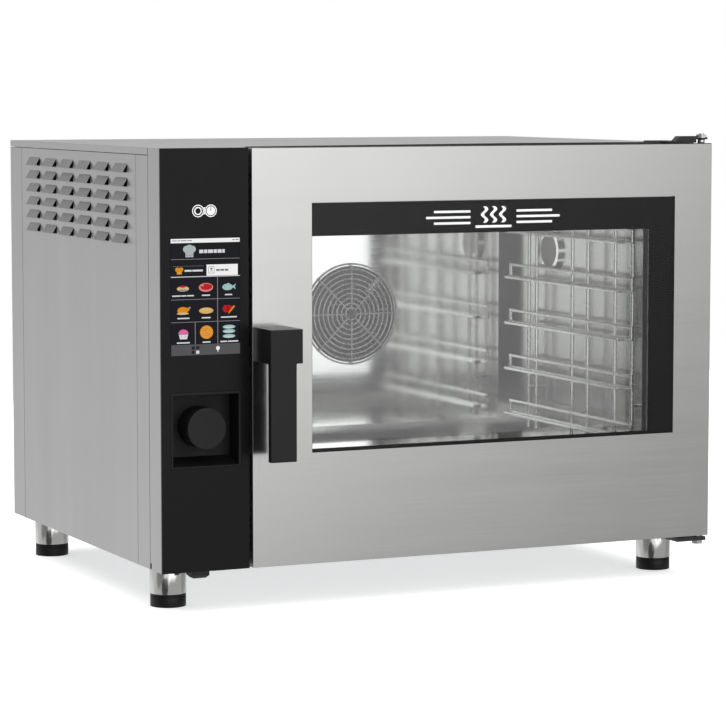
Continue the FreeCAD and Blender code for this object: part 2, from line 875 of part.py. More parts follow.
def foot(x, y):
    """Adjustable end of a leg: grooved pad and stem."""
    gap = 0.5
    pad_r = FOOT_R - 0.5
    groove = 1.0
    groove_top = SLEEVE_DROP + 3.0
    pad_top = -SLEEVE_DROP - gap
    stem_top = -8.0
    pad = rod(point(x, y, -FOOT_HEIGHT), point(x, y, pad_top), pad_r)
    stem = rod(point(x, y, pad_top), point(x, y, stem_top), STEM_R)
    ring = rod(point(x, y, -groove_top - groove), point(x, y, -groove_top), pad_r)
    core = rod(point(x, y, -groove_top - groove), point(x, y, -groove_top), pad_r - groove)
    return fuse([pad.cut(ring.cut(core)), stem])


# ------------------------------------------------------------------------ door


def door_skin():
    """Outer door sheet: front, edge returns and the rebate that carries the glass."""
    deep = DOOR_THICK - SHEET - 0.3
    shallow = 30.0
    step_x = 806.0
    collar = 9.0
    rebate = 6.2
    rebate_seat = 4.7
    rebate_x = (208.0, 795.0)
    rebate_z = (142.0, 502.0)
    sight_x = (CLEAR_X[0] + 1.2, CLEAR_X[1] + 8)
    sight_z = (CLEAR_Z[0] - 1.5, CLEAR_Z[1] + 5.3)
    front = slab(DOOR_LEFT, WIDTH, 0, SHEET, 0, DOOR_TOP)
    left = slab(DOOR_LEFT, DOOR_LEFT + SHEET, 0, deep, 0, DOOR_TOP)
    right = slab(WIDTH - SHEET, WIDTH, 0, shallow, 0, DOOR_TOP)
    parts = [front, left, right]
    for low in (0, DOOR_TOP - SHEET):
        parts.append(slab(DOOR_LEFT, step_x, 0, deep, low, low + SHEET))
        parts.append(slab(step_x, WIDTH, 0, shallow, low, low + SHEET))
    tray = slab(*rebate_x, SHEET, rebate, *rebate_z)
    well = slab(
        rebate_x[0] + SHEET,
        rebate_x[1] - SHEET,
        SHEET,
        rebate_seat,
        rebate_z[0] + SHEET,
        rebate_z[1] - SHEET,
    )
    sight = slab(*sight_x, 0, rebate, *sight_z)
    window = slab(*WINDOW_X, 0, SHEET, *WINDOW_Z)
    pins = rod(point(HINGE_X, HINGE_Y, 0), point(HINGE_X, HINGE_Y, DOOR_TOP), collar)
    spindle = rod(point(HANDLE_X, 0, HANDLE_Z), point(HANDLE_X, SHEET, HANDLE_Z), 9.0)
    shell = carve(fuse(parts), [window, pins, spindle])
    return fuse([shell, carve(tray, [well, sight])])


def door_inner_pan():
    """Inner door sheet with the window opening and a step beside the hinge."""
    front = DOOR_THICK - SHEET - 0.3
    shallow = 30.0
    step_x = 806.0
    window_x = (203.0, 757.0)
    window_z = (128.0, 488.0)
    main = slab(DOOR_LEFT, step_x, front, DOOR_THICK, 0, DOOR_TOP)
    wall = slab(step_x - SHEET, step_x, shallow, front, SHEET, DOOR_TOP - SHEET)
    ledge = slab(step_x - SHEET, WIDTH, shallow, shallow + SHEET, SHEET, DOOR_TOP - SHEET)
    window = slab(*window_x, front, DOOR_THICK, *window_z)
    start = point(HANDLE_X, front, HANDLE_Z)
    spindle = rod(start, point(HANDLE_X, DOOR_THICK, HANDLE_Z), 9.0)
    return carve(fuse([main, wall, ledge]), [window, spindle])


def outer_glass():
    gap = 0.4
    return slab(
        WINDOW_X[0] + gap,
        WINDOW_X[1] - gap,
        0.4,
        4.4,
        WINDOW_Z[0] + gap,
        WINDOW_Z[1] - gap,
    )


def glass_print():
    """Black ceramic print on the back of the outer glass, round the clear area."""
    gap = 0.4
    film = (4.4, 4.7)
    whole = slab(
        WINDOW_X[0] + gap,
        WINDOW_X[1] - gap,
        *film,
        WINDOW_Z[0] + gap,
        WINDOW_Z[1] - gap,
    )
    return whole.cut(slab(CLEAR_X[0] + 0.7, CLEAR_X[1], *film, *CLEAR_Z))


def inner_glass():
    back = DOOR_THICK - SHEET - 0.3
    return slab(195.0, 765.0, back - 4, back, 120.0, 496.0)


def latch_housing():
    """Block between the door sheets that carries the handle's spindle."""
    half = 22.0
    back = DOOR_THICK - SHEET - 0.3
    x = (140.0, 176.0)
    block = slab(*x, SHEET, back, HANDLE_Z - half, HANDLE_Z + half)
    bore = rod(
        point(HANDLE_X, SHEET, HANDLE_Z),
        point(HANDLE_X, back, HANDLE_Z),
        SPINDLE_R + RUNNING_FIT,
    )
    return block.cut(bore)


def hinge_bush(low, collar_low):
    """Block in the door's corner with a collar through the edge return."""
    x = (812.0, WIDTH - SHEET)
    y = (2.0, 29.0)
    tall = 18.0
    collar = 8.8
    block = slab(*x, *y, low, low + tall)
    start = point(HINGE_X, HINGE_Y, collar_low)
    rim = rod(start, start.add(Z_AXIS * SHEET), collar)
    bore = rod(
        point(HINGE_X, HINGE_Y, min(low, collar_low)),
        point(HINGE_X, HINGE_Y, max(low + tall, collar_low + SHEET)),
        HINGE_PIN_R + RUNNING_FIT,
    )
    return fuse([block, rim]).cut(bore)


def hinge_bushes():
    tall = 18.0
    top = DOOR_TOP - SHEET
    return Part.makeCompound([hinge_bush(top - tall, top), hinge_bush(SHEET, 0)])


def hinge_bracket_top():
    """Black arm on the top sheet; its tongue reaches round the door's pin."""
    x = (790.0, 824.5)
    front = 9.0
    rib_back = 22.0
    back = 100.0
    low = HEIGHT + 0.6
    plate_top = HEIGHT + 2.6
    high = 577.4
    corner = 7.0
    tongue_z = (572.6, 575.0)
    tongue_r = 9.0
    outline = [
        point(x[0], front, low),
        point(x[1], front, low),
        point(x[1], front, high),
        point(x[0] + corner, front, high),
        point(x[0], front, high - corner),
        point(x[0], front, low),
    ]
    rib = Part.Face(Part.makePolygon(outline)).extrude(Y_AXIS * (rib_back - front))
    plate = slab(*x, front, back, low, plate_top)
    foot_plate = slab(*x, FRAME_FRONT + 4, back, HEIGHT, low)
    eye_low = point(HINGE_X, HINGE_Y, tongue_z[0])
    eye_high = point(HINGE_X, HINGE_Y, tongue_z[1])
    tongue = slab(x[1], HINGE_X, front, HINGE_Y + tongue_r, *tongue_z)
    eye = rod(eye_low, eye_high, tongue_r)
    hole = rod(eye_low, eye_high, HINGE_PIN_R + RUNNING_FIT)
    return fuse([rib, plate, foot_plate, tongue, eye]).cut(hole)


def hinge_bracket_bottom():
    """Black arm under the casing that carries the door's lower pin."""
    plate_z = (-8.0, -2.5)
    x = (796.0, 844.0)
    front = 4.0
    back = 60.5
    plate = slab(*x, front, back, *plate_z)
    pad = slab(x[0], CASING_WIDTH, FRAME_BACK, back, plate_z[1], 0)
    hole = rod(
        point(HINGE_X, HINGE_Y, plate_z[0]),
        point(HINGE_X, HINGE_Y, plate_z[1]),
        HINGE_PIN_R + RUNNING_FIT,
    )
    return fuse([plate, pad]).cut(hole)


def hexagon(centre, radius, height):
    corners = []
    for step in range(7):
        angle = math.radians(60 * step)
        corners.append(centre.add(point(math.cos(angle), math.sin(angle), 0) * radius))
    return Part.Face(Part.makePolygon(corners)).extrude(Z_AXIS * height)


def hinge_pins():
    """Upper and lower door pins, each with a shoulder, a washer and a nut."""
    shoulder = 5.2
    nut_r = 8.4
    washer_r = 9.6
    washer = 1.0
    tongue_top = 575.0
    upper = point(HINGE_X, HINGE_Y, 550.0)
    upper_top = point(HINGE_X, HINGE_Y, 581.0)
    top_shoulder = point(HINGE_X, HINGE_Y, DOOR_TOP + 0.7)
    seat = point(HINGE_X, HINGE_Y, tongue_top)
    top_pin = [
        rod(upper, upper_top, HINGE_PIN_R),
        rod(top_shoulder, point(HINGE_X, HINGE_Y, 572.6), shoulder),
        rod(seat, seat.add(Z_AXIS * washer), washer_r),
        hexagon(seat.add(Z_AXIS * washer), nut_r, 3.6),
    ]
    lower = point(HINGE_X, HINGE_Y, -13.0)
    low_shoulder = point(HINGE_X, HINGE_Y, -2.5)
    bottom_pin = [
        rod(lower, point(HINGE_X, HINGE_Y, 18.0), HINGE_PIN_R),
        rod(low_shoulder, point(HINGE_X, HINGE_Y, -0.7), shoulder),
        hexagon(lower, nut_r, 5),
    ]
    return Part.makeCompound([fuse(top_pin), fuse(bottom_pin)])


def handle():
    """One-piece moulded handle: block over the spindle and a hanging grip bar."""
    block_x = (134.0, 181.0)
    block_z = (280.6, 326.5)
    grip_x = (134.0, 172.0)
    grip_low = 148.8
    grip_thick = 10.0
    gap = 0.6
    edge = 1.6
    block = slab(*block_x, -HANDLE_REACH, -gap, *block_z)
    grip = slab(*grip_x, -HANDLE_REACH, grip_thick - HANDLE_REACH, grip_low, block_z[0] + 1)
    body = fuse([block, grip])
    outer = [e for e in body.Edges if e.BoundBox.YMax < -gap - 1]
    body = body.makeFillet(edge, outer)
    bore = rod(
        point(HANDLE_X, -30.0, HANDLE_Z),
        point(HANDLE_X, -gap, HANDLE_Z),
        SPINDLE_R,
    )
    return body.cut(bore)


def latch_spindle():
    """Spindle through the door with the latch tongue on its end."""
    front = -30.0
    tongue_y = (47.5, 57.5)
    reach = 16.5
    shaft = rod(
        point(HANDLE_X, front, HANDLE_Z),
        point(HANDLE_X, tongue_y[1], HANDLE_Z),
        SPINDLE_R,
    )
    x = (HANDLE_X - SPINDLE_R, HANDLE_X + SPINDLE_R)
    tongue = slab(*x, *tongue_y, HANDLE_Z, HANDLE_Z + reach)
    return fuse([shaft, tongue])


def latch_keeper():
    """Cup behind the front frame that the tongue turns in."""
    outer = 23.0
    inner = 19.5
    back = 64.0
    wall = 2.0
    cup = rod(point(HANDLE_X, FRAME_BACK, HANDLE_Z), point(HANDLE_X, back, HANDLE_Z), outer)
    start = point(HANDLE_X, FRAME_BACK, HANDLE_Z)
    return cup.cut(rod(start, point(HANDLE_X, back - wall, HANDLE_Z), inner))


def build():
    os.makedirs("parts", exist_ok=True)
    save("base_pan", base_pan())
    save("left_side_panel", left_side_panel())
    save("right_side_panel", right_side_panel())
    save("rear_corners", rear_corners())
    save("rear_panel", rear_panel())
    save("top_cover", top_cover())
    save("front_frame", front_frame())
    save("control_box", control_box())
    save("cavity_floor", cavity_floor())
    save("cavity_roof", cavity_roof())
    save("cavity_left_wall", cavity_left_wall())
    save("cavity_right_wall", cavity_right_wall())
    save("cavity_rear_wall", cavity_rear_wall())
    save("insulation_blanket", insulation_blanket())
    save("door_gasket", door_gasket())
    save("fan_baffle", fan_baffle())
    save("fan_guard", fan_guard())
    save("fan_motor", fan_motor())
    save("fan_wheel", fan_wheel())
    save("heating_element", heating_element())
    save("water_nozzle", water_nozzle())
    save("drain_strainer", drain_strainer())
    save("drain_pipe", drain_pipe())
    save("exhaust_pipe", exhaust_pipe())
    save("lamp_bezel", lamp_bezel())
    save("lamp_lens", lamp_lens())
    save("left_rack", rack(1))
    save("right_rack", rack(-1))
    save("control_fascia", control_fascia())
    save("touch_display", touch_display())
    save("display_module", display_module())
    save("control_board", control_board())
    save("knob_pocket", knob_pocket())
    save("encoder_body", encoder_body())
    save("encoder_plunger", encoder_plunger())
    save("knob", knob())
    save("socket_caps", socket_caps())
    save("electronics_plate", electronics_plate())
    save("contactors", contactors())
    save("water_inlets", water_inlets())
    save("cable_gland", cable_gland())
    save("foot_sleeves", foot_sleeves())
    save("foot_front_left", foot(FOOT_X[0], FOOT_Y[0]))
    save("foot_front_right", foot(FOOT_X[1], FOOT_Y[0]))
    save("foot_rear_left", foot(FOOT_X[0], FOOT_Y[1]))
    save("foot_rear_right", foot(FOOT_X[1], FOOT_Y[1]))
    save("door_skin", door_skin())
    save("door_inner_pan", door_inner_pan())
    save("outer_glass", outer_glass())
    save("glass_print", glass_print())
    save("inner_glass", inner_glass())
    save("latch_housing", latch_housing())
    save("hinge_bushes", hinge_bushes())
    save("hinge_bracket_top", hinge_bracket_top())
    save("hinge_bracket_bottom", hinge_bracket_bottom())
    save("hinge_pins", hinge_pins())
    save("handle", handle())
    save("latch_spindle", latch_spindle())
    save("latch_keeper", latch_keeper())


build()
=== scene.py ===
import math
import bmesh
import bpy
from mathutils import Euler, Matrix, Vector


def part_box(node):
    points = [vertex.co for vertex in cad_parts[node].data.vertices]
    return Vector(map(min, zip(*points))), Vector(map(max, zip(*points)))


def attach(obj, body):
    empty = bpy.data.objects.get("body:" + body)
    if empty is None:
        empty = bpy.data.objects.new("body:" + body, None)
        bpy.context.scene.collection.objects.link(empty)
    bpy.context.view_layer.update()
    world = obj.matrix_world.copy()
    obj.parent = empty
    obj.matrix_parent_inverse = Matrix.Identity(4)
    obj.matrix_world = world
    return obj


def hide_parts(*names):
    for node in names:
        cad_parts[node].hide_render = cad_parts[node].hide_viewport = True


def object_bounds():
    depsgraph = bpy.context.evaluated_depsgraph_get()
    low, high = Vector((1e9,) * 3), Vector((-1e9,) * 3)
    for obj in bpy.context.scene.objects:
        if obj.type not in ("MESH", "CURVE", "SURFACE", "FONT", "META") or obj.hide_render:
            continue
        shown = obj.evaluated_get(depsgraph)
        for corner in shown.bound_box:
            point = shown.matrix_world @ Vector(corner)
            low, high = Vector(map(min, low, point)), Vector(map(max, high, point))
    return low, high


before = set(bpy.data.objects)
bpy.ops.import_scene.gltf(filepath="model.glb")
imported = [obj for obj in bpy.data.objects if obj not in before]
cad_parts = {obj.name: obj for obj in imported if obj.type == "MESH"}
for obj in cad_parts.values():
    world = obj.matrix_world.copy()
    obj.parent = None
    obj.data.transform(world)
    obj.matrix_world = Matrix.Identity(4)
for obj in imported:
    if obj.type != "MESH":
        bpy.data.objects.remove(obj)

cad_low, cad_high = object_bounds()

# ------------------------------------------------------------------ base pan
# The floor sheet of the casing is galvanised steel, cut and pierced flat.
# It carries the legs from below and the mounting plate of the electrics.

MM = 0.001


def linear(hex_colour):
    """An sRGB hex colour as linear red, green, blue and full alpha."""
    shares = [int(hex_colour[i:i + 2], 16) / 255 for i in (1, 3, 5)]
    curve = [s / 12.92 if s <= 0.04045 else ((s + 0.055) / 1.055) ** 2.4 for s in shares]
    return (*curve, 1.0)


def add(tree, kind, inputs=None, feeds=None, **settings):
    """One node with its settings and links: inputs are plain values or sockets,
    and feeds says which socket each named output goes to."""
    made = tree.nodes.new(kind)
    for name, value in settings.items():
        setattr(made, name, value)
    for name, value in (inputs or {}).items():
        if isinstance(value, bpy.types.NodeSocket):
            tree.links.new(value, made.inputs[name])
        else:
            made.inputs[name].default_value = value
    for name, socket in (feeds or {}).items():
        tree.links.new(made.outputs[name], socket)
    return made


def finish_named(name, colour, metallic, roughness, ior=1.5):
    """A plain material, its node tree, its shader and its place in metres."""
    made = bpy.data.materials.new(name)
    made.use_nodes = True
    shader = made.node_tree.nodes["Principled BSDF"]
    shader.inputs["Base Color"].default_value = linear(colour)
    shader.inputs["Metallic"].default_value = metallic
    shader.inputs["Roughness"].default_value = roughness
    if not metallic:
        shader.inputs["IOR"].default_value = ior
    where = add(made.node_tree, "ShaderNodeTexCoord").outputs["Object"]
    return made, made.node_tree, shader, where


def galvanised():
    """Hot-dip zinc: a dull grey with crystals about 9 mm across."""
    made, tree, shader, where = finish_named("galvanised steel sheet", "#aeb3b5", 1.0, 0.42)
    cells = add(
        tree, "ShaderNodeTexVoronoi", {"Vector": where, "Scale": 110.0}, feature="F1",
    )
    grey = add(tree, "ShaderNodeSeparateColor", {"Color": cells.outputs["Color"]})
    add(
        tree, "ShaderNodeMix",
        {"Factor": grey.outputs[0], "A": linear("#9a9fa1"), "B": linear("#bfc4c6")},
        feeds={"Result": shader.inputs["Base Color"]}, data_type="RGBA",
    )
    add(
        tree, "ShaderNodeMapRange", {"Value": grey.outputs[1], "To Min": 0.34, "To Max": 0.52},
        feeds={"Result": shader.inputs["Roughness"]},
    )
    add(
        tree, "ShaderNodeBump",
        {"Height": cells.outputs["Distance"], "Distance": 0.02 * MM, "Strength": 0.4},
        feeds={"Normal": shader.inputs["Normal"]},
    )
    return made


def coat(material, *nodes, soften_mm=0.0):
    """Gives CAD nodes a material, and breaks their sharp edges where asked."""
    for name in nodes:
        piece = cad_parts[name]
        piece.data.materials.clear()
        piece.data.materials.append(material)
        for face in piece.data.polygons:
            face.material_index = 0
        if soften_mm:
            weld = piece.modifiers.new("weld", "WELD")
            weld.merge_threshold = 0.01 * MM
            bevel = piece.modifiers.new("broken edge", "BEVEL")
            bevel.width = soften_mm * MM
            bevel.segments = 2
            bevel.limit_method = "ANGLE"
            bevel.angle_limit = math.radians(40)
            bevel.harden_normals = True


zinc_sheet = galvanised()
coat(zinc_sheet, "base_pan", "electronics_plate", "latch_housing")

# ---------------------------------------------------------------------- legs
# Each leg is a turned tube of polished stainless with a glass-filled polyamide
# end that screws in and out. A fine groove runs round the black end.

def streaks(tree, where, size_mm, detail=3.0, rough=0.6):
    """Noise whose grains are size_mm long along X, Y and Z."""
    per_metre = [1000 / s for s in size_mm]
    mapped = add(tree, "ShaderNodeMapping", {"Vector": where, "Scale": per_metre})
    noise = add(
        tree, "ShaderNodeTexNoise",
        {"Vector": mapped.outputs[0], "Scale": 1.0, "Detail": detail, "Roughness": rough},
    )
    return noise.outputs["Fac"]


# a noise pattern keeps mostly to this part of the range 0..1
MIDDLE = {"From Min": 0.3, "From Max": 0.7}


def polished_tube():
    """Mirror-polished stainless: bright, with faint turning rings 0.8 mm apart."""
    made, tree, shader, where = finish_named("polished stainless", "#d4d4d2", 1.0, 0.1)
    rings = streaks(tree, where, (60, 60, 0.8), 2.0)
    add(
        tree, "ShaderNodeMapRange", {"Value": rings, **MIDDLE, "To Min": 0.08, "To Max": 0.2},
        feeds={"Result": shader.inputs["Roughness"]},
    )
    add(
        tree, "ShaderNodeBump",
        {"Height": rings, "Distance": 0.004 * MM, "Strength": 0.5},
        feeds={"Normal": shader.inputs["Normal"]},
    )
    return made


def moulded_plastic(name, colour, roughness, grain_mm, depth_mm, specular=0.5):
    """Injection-moulded plastic with the eroded texture of its mould."""
    made, tree, shader, where = finish_named(name, colour, 0.0, roughness)
    shader.inputs["Specular IOR Level"].default_value = specular
    grain = streaks(tree, where, (grain_mm,) * 3, 2.0)
    cloud = streaks(tree, where, (45, 45, 45), 2.0)
    fine = add(
        tree, "ShaderNodeMapRange", {"Value": grain, **MIDDLE, "To Min": -0.05, "To Max": 0.05},
    )
    broad = add(
        tree, "ShaderNodeMapRange",
        {"Value": cloud, **MIDDLE, "To Min": roughness - 0.04, "To Max": roughness + 0.05},
    )
    add(
        tree, "ShaderNodeMath", {0: fine.outputs[0], 1: broad.outputs[0]},
        feeds={"Value": shader.inputs["Roughness"]}, operation="ADD",
    )
    add(
        tree, "ShaderNodeBump",
        {"Height": grain, "Distance": depth_mm * MM, "Strength": 0.5},
        feeds={"Normal": shader.inputs["Normal"]},
    )
    return made


bright_steel = polished_tube()
coat(bright_steel, "foot_sleeves", soften_mm=0.6)
leg_black = moulded_plastic("glass-filled polyamide", "#0b0b0b", 0.45, 1.1, 0.02, specular=0.3)
coat(
    leg_black, "foot_front_left", "foot_front_right", "foot_rear_left", "foot_rear_right",
    soften_mm=0.4,
)

# -------------------------------------------------------------------- casing
# Side, rear and top sheets are AISI 304 stainless, satin-brushed with 320 grit
# and folded. The left side has six rows of pressed rain louvres.

def brushed_stainless(
    name, colour, roughness, along, grain_mm=0.9, depth_mm=0.006, swing=0.05,
):
    """Satin stainless: long scratches one way blur the reflections across them.
    Real scratches are 0.05 mm wide; they are drawn grain_mm wide so as to show."""
    made, tree, shader, where = finish_named(name, colour, 1.0, roughness)
    length, band_length, band_width = 140, 700, 24
    scratch = [length if axis == along else grain_mm for axis in "XYZ"]
    band = [band_length if axis == along else band_width for axis in "XYZ"]
    lines = streaks(tree, where, scratch, 4.0, 0.7)
    bands = streaks(tree, where, band, 2.0)
    cloud = streaks(tree, where, (160, 160, 160), 2.0)
    base = linear(colour)
    darker = tuple(c * (1 - swing) for c in base[:3]) + (1.0,)
    lighter = tuple(min(1.0, c * (1 + swing)) for c in base[:3]) + (1.0,)
    share = add(
        tree, "ShaderNodeMapRange", {"Value": lines, **MIDDLE, "To Min": 0.0, "To Max": 1.0},
    )
    add(
        tree, "ShaderNodeMix", {"Factor": share.outputs[0], "A": darker, "B": lighter},
        feeds={"Result": shader.inputs["Base Color"]}, data_type="RGBA",
    )
    fine = add(
        tree, "ShaderNodeMapRange", {"Value": lines, **MIDDLE, "To Min": -0.04, "To Max": 0.04},
    )
    broad = add(
        tree, "ShaderNodeMapRange",
        {"Value": bands, **MIDDLE, "To Min": roughness - 0.02, "To Max": roughness + 0.02},
    )
    worn = add(
        tree, "ShaderNodeMapRange", {"Value": cloud, **MIDDLE, "To Min": -0.015, "To Max": 0.015},
    )
    both = add(
        tree, "ShaderNodeMath", {0: fine.outputs[0], 1: broad.outputs[0]}, operation="ADD",
    )
    add(
        tree, "ShaderNodeMath", {0: both.outputs[0], 1: worn.outputs[0]},
        feeds={"Value": shader.inputs["Roughness"]}, operation="ADD",
    )
    add(
        tree, "ShaderNodeBump",
        {"Height": lines, "Distance": depth_mm * MM, "Strength": 0.35},
        feeds={"Normal": shader.inputs["Normal"]},
    )
    return made


side_steel = brushed_stainless("brushed stainless sides", "#bababa", 0.34, "Z")
top_steel = brushed_stainless("brushed stainless top", "#bababa", 0.3, "X")
coat(
    side_steel, "left_side_panel", "right_side_panel", "rear_corners", "control_box", "front_frame",
    soften_mm=0.5,
)
coat(top_steel, "top_cover", "rear_panel", soften_mm=0.5)

# ------------------------------------------------------------ cooking chamber
# The chamber is welded from 2B cold-rolled stainless, a smooth, bright and
# slightly wavy mill finish. Its baffle hangs on four posts in front of the fan.

def mill_finish(name, colour, roughness):
    """Bright 2B stainless: a soft mirror with faint rolling lines and waves."""
    made, tree, shader, where = finish_named(name, colour, 1.0, roughness)
    rolled = streaks(tree, where, (90, 3, 1.4), 3.0)
    waves = streaks(tree, where, (120, 120, 120), 1.0)
    add(
        tree, "ShaderNodeMapRange",
        {"Value": rolled, **MIDDLE, "To Min": roughness - 0.03, "To Max": roughness + 0.03},
        feeds={"Result": shader.inputs["Roughness"]},
    )
    wavy = add(tree, "ShaderNodeBump", {"Height": waves, "Distance": 0.25 * MM, "Strength": 0.1})
    add(
        tree, "ShaderNodeBump",
        {"Height": rolled, "Distance": 0.001 * MM, "Strength": 0.2, "Normal": wavy.outputs[0]},
        feeds={"Normal": shader.inputs["Normal"]},
    )
    return made


chamber_steel = mill_finish("2B cold-rolled stainless", "#f0f0ee", 0.09)
# the side and rear walls and the door's inner pan are the same 2B steel, given a darker grey as
# painted shade
shaded_wall_steel = mill_finish("2B stainless chamber walls with painted shade", "#d0d0ce", 0.22)
tinted_steel = mill_finish("heat-tinted 2B stainless", "#2b2a29", 0.35)
coat(
    chamber_steel, "cavity_floor", "cavity_roof", "fan_baffle", "drain_strainer", "drain_pipe",
    "exhaust_pipe", "lamp_bezel",
)
coat(tinted_steel, "fan_wheel")
coat(shaded_wall_steel, "cavity_left_wall", "cavity_right_wall", "cavity_rear_wall", "door_inner_pan")


def mineral_wool():
    """Pressed stone wool: matt ochre fibres a few millimetres long."""
    made, tree, shader, where = finish_named("stone wool blanket", "#a08a55", 0.0, 0.95)
    fibres = streaks(tree, where, (6, 1.0, 3), 5.0, 0.7)
    add(
        tree, "ShaderNodeMix", {"Factor": fibres, "A": linear("#7d6a3c"), "B": linear("#bba670")},
        feeds={"Result": shader.inputs["Base Color"]}, data_type="RGBA",
    )
    add(
        tree, "ShaderNodeBump",
        {"Height": fibres, "Distance": 1.0 * MM, "Strength": 0.8},
        feeds={"Normal": shader.inputs["Normal"]},
    )
    return made


coat(mineral_wool(), "insulation_blanket")

# ------------------------------------------------------------ fan and heating
# The fan is welded from bright stainless; its guard is electropolished wire.
# The tube element has gone dull brown with heat, and the motor is black.

def wire_finish(name, colour):
    """Electropolished round wire: bright, with tiny drawing marks."""
    made, tree, shader, where = finish_named(name, colour, 1.0, 0.22)
    marks = streaks(tree, where, (2, 2, 2), 3.0)
    add(
        tree, "ShaderNodeMapRange", {"Value": marks, **MIDDLE, "To Min": 0.16, "To Max": 0.32},
        feeds={"Result": shader.inputs["Roughness"]},
    )
    add(
        tree, "ShaderNodeBump",
        {"Height": marks, "Distance": 0.006 * MM, "Strength": 0.3},
        feeds={"Normal": shader.inputs["Normal"]},
    )
    return made


def burnt_sheath():
    """Alloy sheath after many heats: brown-grey oxide in soft patches."""
    made, tree, shader, where = finish_named("oxidised alloy sheath", "#4a4038", 0.85, 0.55)
    patches = streaks(tree, where, (14, 14, 14), 4.0)
    add(
        tree, "ShaderNodeMix", {"Factor": patches, "A": linear("#2f2925"), "B": linear("#6a5a4a")},
        feeds={"Result": shader.inputs["Base Color"]}, data_type="RGBA",
    )
    add(
        tree, "ShaderNodeMapRange", {"Value": patches, **MIDDLE, "To Min": 0.45, "To Max": 0.7},
        feeds={"Result": shader.inputs["Roughness"]},
    )
    return made


wire_steel = wire_finish("electropolished stainless wire", "#f4f4f2")
coat(wire_steel, "left_rack", "right_rack", "water_nozzle")
coat(wire_finish("plain stainless guard wire", "#a8a8a6"), "fan_guard")
coat(burnt_sheath(), "heating_element")
coat(moulded_plastic("black motor enamel", "#191a1b", 0.35, 2.2, 0.02), "fan_motor", soften_mm=0.8)

# --------------------------------------------------------------- chamber lamp
# A frosted borosilicate disc is clamped in a pressed ring on the right wall,
# with the lamp's can behind it in the wool.

def frosted_glass():
    """Ground borosilicate: pale and cloudy, so that it scatters what it passes."""
    made, tree, shader, where = finish_named(
        "frosted borosilicate glass", "#f0eee6", 0.0, 0.35, ior=1.47,
    )
    shader.inputs["Transmission Weight"].default_value = 0.5
    grit = streaks(tree, where, (1.2, 1.2, 1.2), 2.0)
    add(
        tree, "ShaderNodeMapRange", {"Value": grit, **MIDDLE, "To Min": 0.28, "To Max": 0.45},
        feeds={"Result": shader.inputs["Roughness"]},
    )
    return made


coat(frosted_glass(), "lamp_lens", soften_mm=0.3)

# ------------------------------------------------------------------- services
# Two nickel-plated brass inlets, a drain tube, a steam vent and an empty cable
# gland pass through the rear sheet, which is held by pan-head screws.

def plated_brass():
    """Thin nickel over turned brass: yellowish, with marks 0.5 mm apart."""
    made, tree, shader, where = finish_named("nickel-plated brass", "#b9a982", 1.0, 0.28)
    turned = streaks(tree, where, (30, 0.5, 30), 2.0)
    add(
        tree, "ShaderNodeMapRange", {"Value": turned, **MIDDLE, "To Min": 0.2, "To Max": 0.38},
        feeds={"Result": shader.inputs["Roughness"]},
    )
    add(
        tree, "ShaderNodeBump",
        {"Height": turned, "Distance": 0.02 * MM, "Strength": 0.4},
        feeds={"Normal": shader.inputs["Normal"]},
    )
    return made


coat(plated_brass(), "water_inlets", soften_mm=0.4)
gland_black = moulded_plastic("black polyamide gland", "#151515", 0.5, 0.9, 0.02)
coat(gland_black, "cable_gland", soften_mm=0.4)


def plain_piece(name, mesh, material, body, smooth=True):
    """A built mesh as a piece that rides a body."""
    data = bpy.data.meshes.new(name)
    mesh.to_mesh(data)
    mesh.free()
    if smooth:
        for face in data.polygons:
            face.use_smooth = True
    piece = bpy.data.objects.new(name, data)
    bpy.context.scene.collection.objects.link(piece)
    data.materials.append(material)
    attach(piece, body)
    return piece


def turned_profile(mesh, centre, axis, outline, steps=20):
    """Turns an outline of (radius, height) in mm about an axis through a point."""
    axis = Vector(axis)
    side = axis.orthogonal().normalized()
    across = axis.cross(side)
    rings = []
    for radius, height in outline:
        ring = []
        for step in range(steps):
            angle = 2 * math.pi * step / steps
            out = side * math.cos(angle) + across * math.sin(angle)
            ring.append(mesh.verts.new(centre + axis * height * MM + out * radius * MM))
        rings.append(ring)
    for lower, upper in zip(rings, rings[1:]):
        for step in range(steps):
            after = (step + 1) % steps
            mesh.faces.new((lower[step], lower[after], upper[after], upper[step]))
    mesh.faces.new(list(reversed(rings[0])))
    mesh.faces.new(rings[-1])


def zinc_screw():
    """Zinc-plated steel: a bluish soft shine."""
    made, tree, shader, where = finish_named("zinc-plated steel", "#b6b9bc", 1.0, 0.3)
    film = streaks(tree, where, (3, 3, 3), 3.0)
    add(
        tree, "ShaderNodeMapRange", {"Value": film, **MIDDLE, "To Min": 0.22, "To Max": 0.4},
        feeds={"Result": shader.inputs["Roughness"]},
    )
    return made


zinc_steel = zinc_screw()
screw_heads = bmesh.new()
head = [(3.6, -0.2), (3.6, 0.3), (3.3, 1.3), (2.4, 2.0), (1.5, 2.2), (1.5, 1.2), (0.2, 1.2)]
rear_low, rear_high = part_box("rear_panel")
for share_x in (0.04, 0.35, 0.65, 0.96):
    for share_z in (0.03, 0.97):
        at = Vector((
            rear_low.x + share_x * (rear_high.x - rear_low.x),
            rear_high.y,
            rear_low.z + share_z * (rear_high.z - rear_low.z),
        ))
        turned_profile(screw_heads, at, (0, 1, 0), head)
plain_piece("rear_screws", screw_heads, zinc_steel, "cabinet")
coat(zinc_steel, "latch_spindle", "latch_keeper", "encoder_plunger")

# ---------------------------------------------------------------- door gasket
# The gasket is one extruded silicone tube with a soft bulb, vulcanised at the
# corners and pressed into the front frame. Its bulb touches the closed door.

